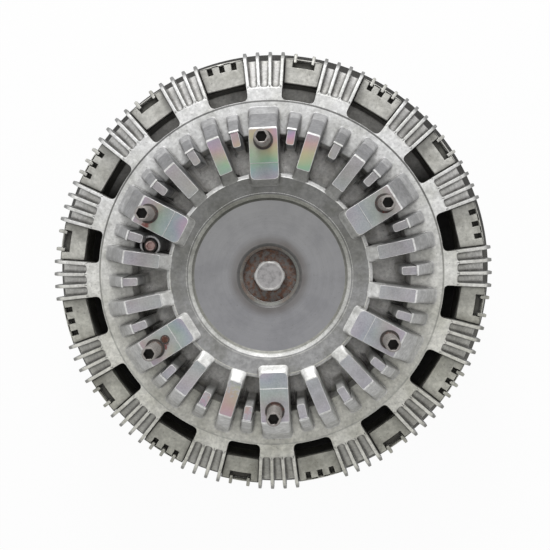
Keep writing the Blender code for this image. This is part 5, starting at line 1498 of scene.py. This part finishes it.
@dataclass
class Fasteners:
    """The fan studs, the centre bolt and its washer, the lock-up screw and the dowel."""

    stud_circle: float = 0.0889
    stud_radius: float = 0.0049
    stud_height: float = 0.0250
    stud_root: float = 0.0175
    stud_chamfer: float = 0.0012
    seat_radii: Corner = (0.0044, 0.0059, 0.0065)
    thread_pitch: float = 0.00125
    thread_depth: float = 0.00055
    socket_flats: float = 0.0060
    socket_depth: float = 0.0060
    bolt_flats: float = 0.0195
    bolt_radius: float = 0.0064
    bolt_end: float = 0.1350
    bolt_bottom: float = 0.1689
    bolt_top: float = 0.1774
    washer_radii: Span = (0.0068, 0.0240)
    washer_levels: Span = (0.1636, 0.1686)
    dowel_circle: float = 0.0801
    dowel_angle: float = 241.2
    dowel_radius: float = 0.0022
    stain_radii: Span = (0.0021, 0.0031)
    lock_flats: float = 0.0040

    def thread(self, height: float, chamfer: float) -> Callable[[float], float]:
        """The radius of a stud's thread at one height, by the angle.

        Args:
            height: the height.
            chamfer: where the thread ends.

        Returns:
            The function that gives the radius.
        """
        fade = max(0.0, min(1.0, (height - PAD_LEVEL - 0.0005) / 0.001, (chamfer - height) / 0.0008))

        def radius(turn: float) -> float:
            """The radius at this angle."""
            ridge = abs(2 * (((height - PAD_LEVEL) / self.thread_pitch - turn / 360) % 1.0) - 1)
            return self.stud_radius - self.thread_depth * min(1.0, 1.25 * ridge) * fade

        return radius

    def stud(self, number: int, angle: float) -> None:
        """Makes a threaded stud with a hexagon socket in its end.

        Args:
            number: the stud's number.
            angle: its angle.
        """
        shell = Shell(STUD_STEEL, SOCKET, RUST_STAIN, SEAT_SHADOW)
        centre = polar(self.stud_circle, angle)
        low, high = PAD_LEVEL - self.stud_root, PAD_LEVEL + self.stud_height
        foot, chamfer = PAD_LEVEL - 0.001, high - self.stud_chamfer
        steps = int((chamfer - PAD_LEVEL) / self.thread_pitch * 6)
        heights = [low + (foot - low) * i / 3 for i in range(4)]
        heights += [foot + (chamfer - PAD_LEVEL + 0.001) * i / steps for i in range(1, steps + 1)]
        levels = [(self.thread(height, chamfer), height) for height in heights]
        levels += [(self.stud_radius - 0.0003, chamfer + 0.0003), (self.stud_radius - 0.0010, high),
                   (self.stud_radius - 0.0013, high)]
        bands = [STUD_STEEL] * len(levels) + [SOCKET] * 2
        socket = hexagon(self.socket_flats)
        levels += [(hexagon(self.socket_flats, 0.0002), high - 0.0001), (socket, high - 0.0004),
                   (socket, high - self.socket_depth)]
        shell.loft(stack(levels, 48, centre), bands)
        # A thin ring on the pad: dark painted shadow round the stud's foot, then a rust stain.
        seat, bottom = PAD_LEVEL + 0.0002, PAD_LEVEL - 0.0014
        inner, middle, outer = self.seat_radii
        corners = [(inner, seat, 0), (middle, seat, 0), (outer, PAD_LEVEL + 0.0001, 0), (outer, bottom, 0),
                   (inner, bottom, 0)]
        shell.turn(corners, SEAT_SHADOW, 40, {1: RUST_STAIN, 2: RUST_STAIN}, centre=centre)
        fit(shell.piece(f"threaded_stud_{number}", 50), Body.FAN, f"fan_stud_{number}")

    def centre_bolt(self) -> None:
        """Makes the hexagon bolt on the axis."""
        shell = Shell(BOLT_STEEL, BOLT_EDGE, RUSTY_WASHER)
        top, crown = self.bolt_top, self.bolt_flats / 2
        head = [(crown + 0.0015, top - 0.0020, RUSTY_WASHER), (crown + 0.0006, top - 0.0010, BOLT_EDGE),
                (crown - 0.0002, top - 0.0002, BOLT_EDGE), (crown - 0.0010, top, BOLT_EDGE),
                (crown - 0.0015, top - 0.0002, BOLT_STEEL), (crown - 0.0032, top - 0.0006, BOLT_STEEL),
                (0.0045, top - 0.0004, BOLT_STEEL), (0.0020, top - 0.0005, BOLT_STEEL)]
        levels = [(self.bolt_radius, self.bolt_end), (self.bolt_radius, self.bolt_bottom),
                  (hexagon(self.bolt_flats), self.bolt_bottom)]
        levels += [(hexagon(self.bolt_flats, limit=radius), height) for radius, height, _ in head]
        bands = [RUSTY_WASHER] * 3 + [finish for *_, finish in head[:-1]]
        shell.loft(stack(levels, 96), bands)
        fit(shell.piece("hexagon_bolt", 25), Body.SHEAVE, "centre_bolt")

    def washer(self) -> None:
        """Makes the thick clamp washer under the bolt."""
        shell = Shell(RUSTY_WASHER)
        (inner, outer), (low, high) = self.washer_radii, self.washer_levels
        corners = [(inner, high, 0.0005), (outer, high, 0.0009), (outer, low, 0.0005), (inner, low, 0.0005)]
        shell.turn(corners, RUSTY_WASHER, 96)
        fit(shell.piece("thick_washer"), Body.SHEAVE, "clamp_washer")

    def lock_screw(self) -> None:
        """Makes the lock-up screw, sunk in its boss."""
        shell = Shell(PINK_ZINC, SEAT_SHADOW)
        socket = hexagon(self.lock_flats)
        levels = [(0.0030, -0.0155), (0.0030, -0.0035), (0.0046, -0.0035), (0.0046, -0.0012),
                  (0.0041, -0.0007), (0.0035, -0.0007), (0.0031, 0.0),
                  (hexagon(self.lock_flats, 0.0002), -0.0001), (socket, -0.0004), (socket, -0.0017)]
        rings = stack([(radius, LOCK_TOP + level) for radius, level in levels], 36, LOCK_CENTRE)
        # The shank and the sides of the head are dark as painted shadow where the head sits in the boss.
        shell.loft(rings, [SEAT_SHADOW] * 5 + [PINK_ZINC] * 4)
        fit(shell.piece("sunk_lock_screw"), Body.FAN, "lock_up_screw")

    def dowel(self) -> None:
        """Makes the dowel in one pad, with the rust round it."""
        shell = Shell(STUD_STEEL, RUST_STAIN)
        centre, radius = polar(self.dowel_circle, self.dowel_angle), self.dowel_radius
        top, low = PAD_LEVEL + 0.0002, PAD_LEVEL - 0.010
        pin = [(0, top, 0), (radius, top, 0.0002), (radius, low, 0.0002), (0, low, 0)]
        shell.turn(pin, STUD_STEEL, 32, centre=centre)
        (inner, outer), top, low = self.stain_radii, PAD_LEVEL + 0.0001, PAD_LEVEL - 0.001
        stain = [(inner, top, 0), (outer, top, 0), (outer, low, 0), (inner, low, 0)]
        shell.turn(stain, RUST_STAIN, 32, centre=centre)
        fit(shell.piece("pad_dowel"), Body.FAN, "locating_dowel")

    def build(self) -> None:
        """Makes all the fasteners that show."""
        for number, angle in enumerate(PAD_ANGLES, 1):
            self.stud(number, angle)
        for make in (self.centre_bolt, self.washer, self.lock_screw, self.dowel):
            make()


@dataclass
class Sheave:
    """The belt sheave with its hub, web, drum and magnet flange."""

    rim_radius: float = 0.1000
    rim_inner: float = 0.0830
    groove_count: int = 6
    groove_pitch: float = 0.00356
    groove_depth: float = 0.0030
    land: float = 0.0060
    back: float = 0.03204
    web_bottom: float = 0.0654
    web_top: float = 0.0774
    bore: float = 0.0378
    bore_top: float = 0.0636
    hub_radius: float = 0.0530
    hub_bottom: float = 0.0219
    lip_radius: float = 0.0330
    drum_inner: float = 0.0980
    drum_radius: float = 0.1040
    drum_top: float = 0.1207
    flange_radius: float = 0.1400
    flange_bottom: float = 0.0877
    flange_top: float = 0.0957

    def build(self) -> None:
        """Makes the sheave as one turned form."""
        shell = Shell(SHEAVE_STEEL, IRON)
        drum, flange, under = self.drum_radius, self.flange_radius, self.flange_bottom
        first = self.back + self.land + self.groove_count * self.groove_pitch
        corners = [(self.lip_radius, self.web_top, 0.0006), (self.drum_inner, self.web_top, 0.003),
                   (self.drum_inner, self.drum_top, 0.0008), (drum, self.drum_top, 0.0008),
                   (drum, self.flange_top, 0.002), (flange, self.flange_top, 0.0008),
                   (flange, under, 0.0008), (drum, under, 0.003),
                   (drum, first + self.land + 0.003, 0.002), (self.rim_radius, first + self.land, 0.0006)]
        for i in range(self.groove_count):
            low = first - i * self.groove_pitch
            for share, deep in ((0.06, 0.0), (0.40, 1.0), (0.60, 1.0), (0.94, 0.0)):
                radius = self.rim_radius - deep * self.groove_depth
                corners.append((radius, low - share * self.groove_pitch, 0.0003))
        corners += [(self.rim_radius, self.back, 0.0012), (self.rim_inner, self.back, 0.0012),
                    (self.rim_inner, self.web_bottom, 0.004), (self.hub_radius, self.web_bottom, 0.004),
                    (self.hub_radius, self.hub_bottom, 0.001), (self.bore, self.hub_bottom, 0.0005),
                    (self.bore, self.bore_top, 0.0), (self.lip_radius, self.web_bottom, 0.0)]
        shell.turn(corners, SHEAVE_STEEL, 192, {5: IRON, 6: IRON, 7: IRON}, steps=2)
        fit(shell.piece("grooved_sheave"), Body.SHEAVE, "sheave")


@dataclass
class ReturnSpring:
    """The coil spring round the shaft that lifts the piston."""

    radius: float = 0.0320
    wire_radius: float = 0.0030
    bottom: float = 0.0880
    top: float = 0.1080
    turns: float = 2.2
    travel: float = 0.0025
    points_a_turn: int = 48
    wire_sides: int = 16

    def build(self) -> None:
        """Makes the spring as one coiled wire."""
        shell = Shell(STEEL)
        low, high = self.bottom + self.wire_radius, self.top - self.wire_radius
        count = int(self.turns * self.points_a_turn)
        sizes = [(0, 0.80), (0, 0.95), *[(i, 1.0) for i in range(1, count)], (count, 0.95), (count, 0.80)]
        shifts = [0.0, 0.0003, *[0.0] * (count - 1), -0.0003, 0.0]
        rings = []
        for (step, size), shift in zip(sizes, shifts):
            share = step / count
            turn = -360 * self.turns * share - 90
            middle = polar(self.radius, turn - math.degrees(shift / self.radius), low + (high - low) * share)
            out = polar(1.0, turn)
            ring = []
            for side in evenly(self.wire_sides):
                across, up = math.cos(math.radians(side)), math.sin(math.radians(side))
                ring.append(middle + (out * across + Vector((0, 0, up))) * self.wire_radius * size)
            rings.append(ring)
        shell.loft(rings, STEEL)
        thing = shell.piece("return_spring")
        fit(thing, Body.SHEAVE, "piston_spring")
        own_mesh(thing)


@dataclass
class Bracket:
    """The casting that carries everything: its foot, its boss and the journal."""

    foot_length: float = 0.150
    foot_width: float = 0.120
    foot_thickness: float = 0.018
    foot_corner: float = 0.012
    hole_radius: float = 0.0055
    hole_inset: float = 0.015
    boss_radius: float = 0.034
    shoulder: float = 0.027
    journal_radius: float = 0.0222
    journal_top: float = 0.0626
    thread_radius: float = 0.0200
    top: float = 0.0737
    pocket_radius: float = 0.0093
    pocket_bottom: float = 0.0631
    air_radius: float = 0.004
    port_radius: float = 0.0053
    port_depth: float = 0.0103

    def foot(self) -> Shell:
        """The foot plate, with rounded edges.

        Returns:
            A shell that holds this form.
        """
        shell = Shell(FOOT_CAST, STEEL)
        x, y = self.foot_length / 2, self.foot_width / 2
        plan = rounded([(-x, -y), (x, -y), (x, y), (-x, y)], self.foot_corner * 1.15, 10)
        shell.plate(plan, edge_levels(0.0, self.foot_thickness, 0.0008, 0.0016, 3), FOOT_CAST)
        return shell

    def holes(self) -> Shell:
        """The forms that cut the bolt holes, the port and the air bore.

        Returns:
            A shell that holds this form.
        """
        shell = Shell(FOOT_CAST, STEEL)
        x, y = self.foot_length / 2 - self.hole_inset, self.foot_width / 2 - self.hole_inset
        wide, narrow, over = self.hole_radius + 0.0018, self.hole_radius, 0.001
        top = self.foot_thickness
        corners = [(0, -over, 0), (wide, -over, 0), (narrow, over * 0.8, 0), (narrow, top - over * 0.8, 0),
                   (wide, top + over, 0), (0, top + over, 0)]
        for spot in ((x, y), (-x, y), (-x, -y), (x, -y)):
            shell.turn(corners, STEEL, 48, centre=Vector((*spot, 0)))
        edge = -self.foot_width / 2
        middle = Vector((0, 0, top / 2))
        stops = [(edge - over, self.port_radius), (edge + self.port_depth, self.port_radius),
                 (edge + self.port_depth, self.air_radius), (-over, self.air_radius)]
        rings = [[middle + Vector((polar(r, t).x, along, polar(r, t).y)) for t in evenly(40)]
                 for along, r in stops]
        shell.loft(rings, STEEL)
        return shell

    def journal(self) -> Shell:
        """The turned boss and journal, with the air bore up the middle.

        Returns:
            A shell that holds this form.
        """
        shell = Shell(FOOT_CAST, STEEL)
        low, seat, top = self.foot_thickness - 0.0006, self.shoulder, self.journal_top
        thread, journal, boss = self.thread_radius, self.journal_radius, self.boss_radius
        corners = [(self.pocket_radius, self.top, 0.0004), (thread, self.top, 0.0010), (thread, top, 0.0004),
                   (journal, top, 0.0006), (journal, seat, 0.0008), (boss, seat, 0.0012),
                   (boss, low + 0.0018, 0.0012), (boss + 0.0012, low, 0.0), (self.air_radius, low, 0.0),
                   (self.air_radius, self.pocket_bottom, 0.0004),
                   (self.pocket_radius, self.pocket_bottom, 0.0004)]
        flats = {number: STEEL for number in (0, 1, 2, 3, 4, 8, 9, 10)}
        shell.turn(corners, FOOT_CAST, 128, flats)
        return shell

    def build(self) -> None:
        """Makes the bracket."""
        thing = self.foot().piece("bracket_casting")
        carve(thing, self.holes())
        absorb(thing, self.journal())
        fit(thing, Body.BRACKET, "journal_bracket")


@dataclass
class Surroundings:
    """The floor, the lights, the world and the camera."""

    focal_pixels: float = 946.0
    image_pixels: float = 550.0
    sensor: float = 36.0
    camera_place: Spot = (0.02638, 0.03444, 0.80014)
    camera_turn: Spot = (-0.05585, 0.03405, -0.04270)
    world_light: float = 0.42
    floor_size: float = 6.0

    def seen(self, tree: bpy.types.NodeTree) -> Socket:
        """Tells the rays that see the studio as white.

        Args:
            tree: the node tree that asks.

        Returns:
            1 for the camera's rays and those that were mirrored or let through, and 0 for others.
        """
        path = tree.nodes.new("ShaderNodeLightPath")
        total = path.outputs["Is Camera Ray"]
        for kind in ("Is Glossy Ray", "Is Transmission Ray"):
            node = tree.nodes.new("ShaderNodeMath")
            node.operation, node.use_clamp = "ADD", True
            tree.links.new(total, node.inputs[0])
            tree.links.new(path.outputs[kind], node.inputs[1])
            total = node.outputs[0]
        return total

    def world(self) -> None:
        """Makes the even white world."""
        world = bpy.data.worlds.new("studio")
        bpy.context.scene.world = world
        world.use_nodes = True
        tree = world.node_tree
        background = tree.nodes["Background"]
        background.inputs["Color"].default_value = (1, 1, 1, 1)
        strength = tree.nodes.new("ShaderNodeMapRange")
        strength.inputs["To Min"].default_value = self.world_light
        strength.inputs["To Max"].default_value = 1.0
        tree.links.new(self.seen(tree), strength.inputs["Value"])
        tree.links.new(strength.outputs[0], background.inputs["Strength"])

    def floor(self) -> None:
        """Makes the plain pale floor, which keeps the clutch's shadow."""
        half = self.floor_size / 2
        mesh = bpy.data.meshes.new("studio_floor")
        corners = [(-half, -half, 0), (half, -half, 0), (half, half, 0), (-half, half, 0)]
        mesh.from_pydata(corners, [], [(0, 1, 2, 3)])
        thing = bpy.data.objects.new("studio_floor", mesh)
        bpy.context.scene.collection.objects.link(thing)
        material = bpy.data.materials.new("pale floor")
        material.use_nodes = True
        tree = material.node_tree
        shader = tree.nodes["Principled BSDF"]
        shader.inputs["Base Color"].default_value = (0.92, 0.92, 0.92, 1)
        shader.inputs["Roughness"].default_value = 0.9
        shader.inputs["Specular IOR Level"].default_value = 0.1
        glow = tree.nodes.new("ShaderNodeEmission")
        mixer = tree.nodes.new("ShaderNodeMixShader")
        share = tree.nodes.new("ShaderNodeMath")
        share.operation = "MULTIPLY"
        share.inputs[1].default_value = 0.95
        tree.links.new(self.seen(tree), share.inputs[0])
        tree.links.new(share.outputs[0], mixer.inputs[0])
        tree.links.new(shader.outputs[0], mixer.inputs[1])
        tree.links.new(glow.outputs[0], mixer.inputs[2])
        tree.links.new(mixer.outputs[0], tree.nodes["Material Output"].inputs["Surface"])
        mesh.materials.append(material)

    def lamp(self, name: str, place: Spot, size: float, watts: float, mirrored: bool) -> None:
        """Adds a soft lamp that points at the clutch.

        Args:
            name: the lamp's name.
            place: where it hangs.
            size: its width.
            watts: its power.
            mirrored: True where it shows in the metal.
        """
        light = bpy.data.lights.new(name, "AREA")
        light.shape, light.size, light.energy = "DISK", size, watts
        thing = bpy.data.objects.new(name, light)
        thing.visible_glossy = mirrored
        thing.location = place
        aim = Vector((0, 0, 0.14)) - Vector(place)
        thing.rotation_euler = aim.to_track_quat("-Z", "Y").to_euler()
        bpy.context.scene.collection.objects.link(thing)

    def camera(self) -> None:
        """Makes the camera at the photograph's viewing angle."""
        data = bpy.data.cameras.new("camera")
        data.sensor_width = self.sensor
        data.lens = self.focal_pixels / self.image_pixels * self.sensor
        data.clip_start, data.clip_end = 0.01, 20
        thing = bpy.data.objects.new("camera", data)
        thing.location, thing.rotation_euler = self.camera_place, self.camera_turn
        bpy.context.scene.collection.objects.link(thing)
        bpy.context.scene.camera = thing

    def build(self) -> None:
        """Makes the studio."""
        self.camera()
        self.world()
        self.floor()
        self.lamp("top_lamp", (-0.02, 0.66, 0.72), 0.30, 4.0, True)
        self.lamp("overhead_lamp", (0.02, 0.10, 1.15), 0.35, 1.7, False)
        bpy.context.scene.view_settings.view_transform = "Standard"


@dataclass(frozen=True)
class CarriedOver:
    """A solid that keeps its shape and gets a finish."""

    finish: Finish
    nodes: tuple[str, ...]

    def dress(self) -> None:
        """Puts the finish on the solids."""
        for name in self.nodes:
            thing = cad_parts[name]
            if not thing.material_slots:
                thing.data.materials.append(self.finish.material())
            for slot in thing.material_slots:
                slot.material = self.finish.material()
            LOG.info("%s: kept, in %s", name, self.finish.name)


def carried_over() -> list[CarriedOver]:
    """The solids that keep their shapes, by finish.

    Returns:
        One entry for each finish.
    """
    screws = tuple(f"shaft_screw_{i}" for i in range(1, 7)) + tuple(f"drive_pin_{i}" for i in range(1, 4))
    races = tuple(f"{place}_bearing_{ring}_race" for place in ("rear", "front", "fan")
                  for ring in ("inner", "outer"))
    return [
        CarriedOver(BRASS, ("air_fitting", "air_seal")),
        CarriedOver(STEEL, races + screws + ("bearing_spacer", "fan_spacer", "lock_washer", "lock_nut",
                                             "stub_shaft", "bearing_circlip", "air_chamber_cap")),
        CarriedOver(EDDY_RING_LIGHT_AND_SHADE, ("eddy_ring",)),
        CarriedOver(MAGNET, ("magnet_ring",)),
        CarriedOver(CAST, ("piston",)),
        CarriedOver(RUBBER, ("dust_seal", "shaft_seal", "cap_seal")),
        CarriedOver(LINING, ("friction_liner",)),
        CarriedOver(ZINC, tuple(f"eddy_screw_{i}" for i in range(1, 5))),
    ]


def main() -> None:
    """Builds the clutch's looks in order."""
    logging.basicConfig(level=logging.INFO, format="%(message)s")
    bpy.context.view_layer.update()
    Surroundings().build()
    for part in (FanCasting(), RearRing(), Fasteners(), Sheave(), ReturnSpring(), Bracket()):
        part.build()
    for kept in carried_over():
        kept.dress()


if __name__ == "__main__":
    main()
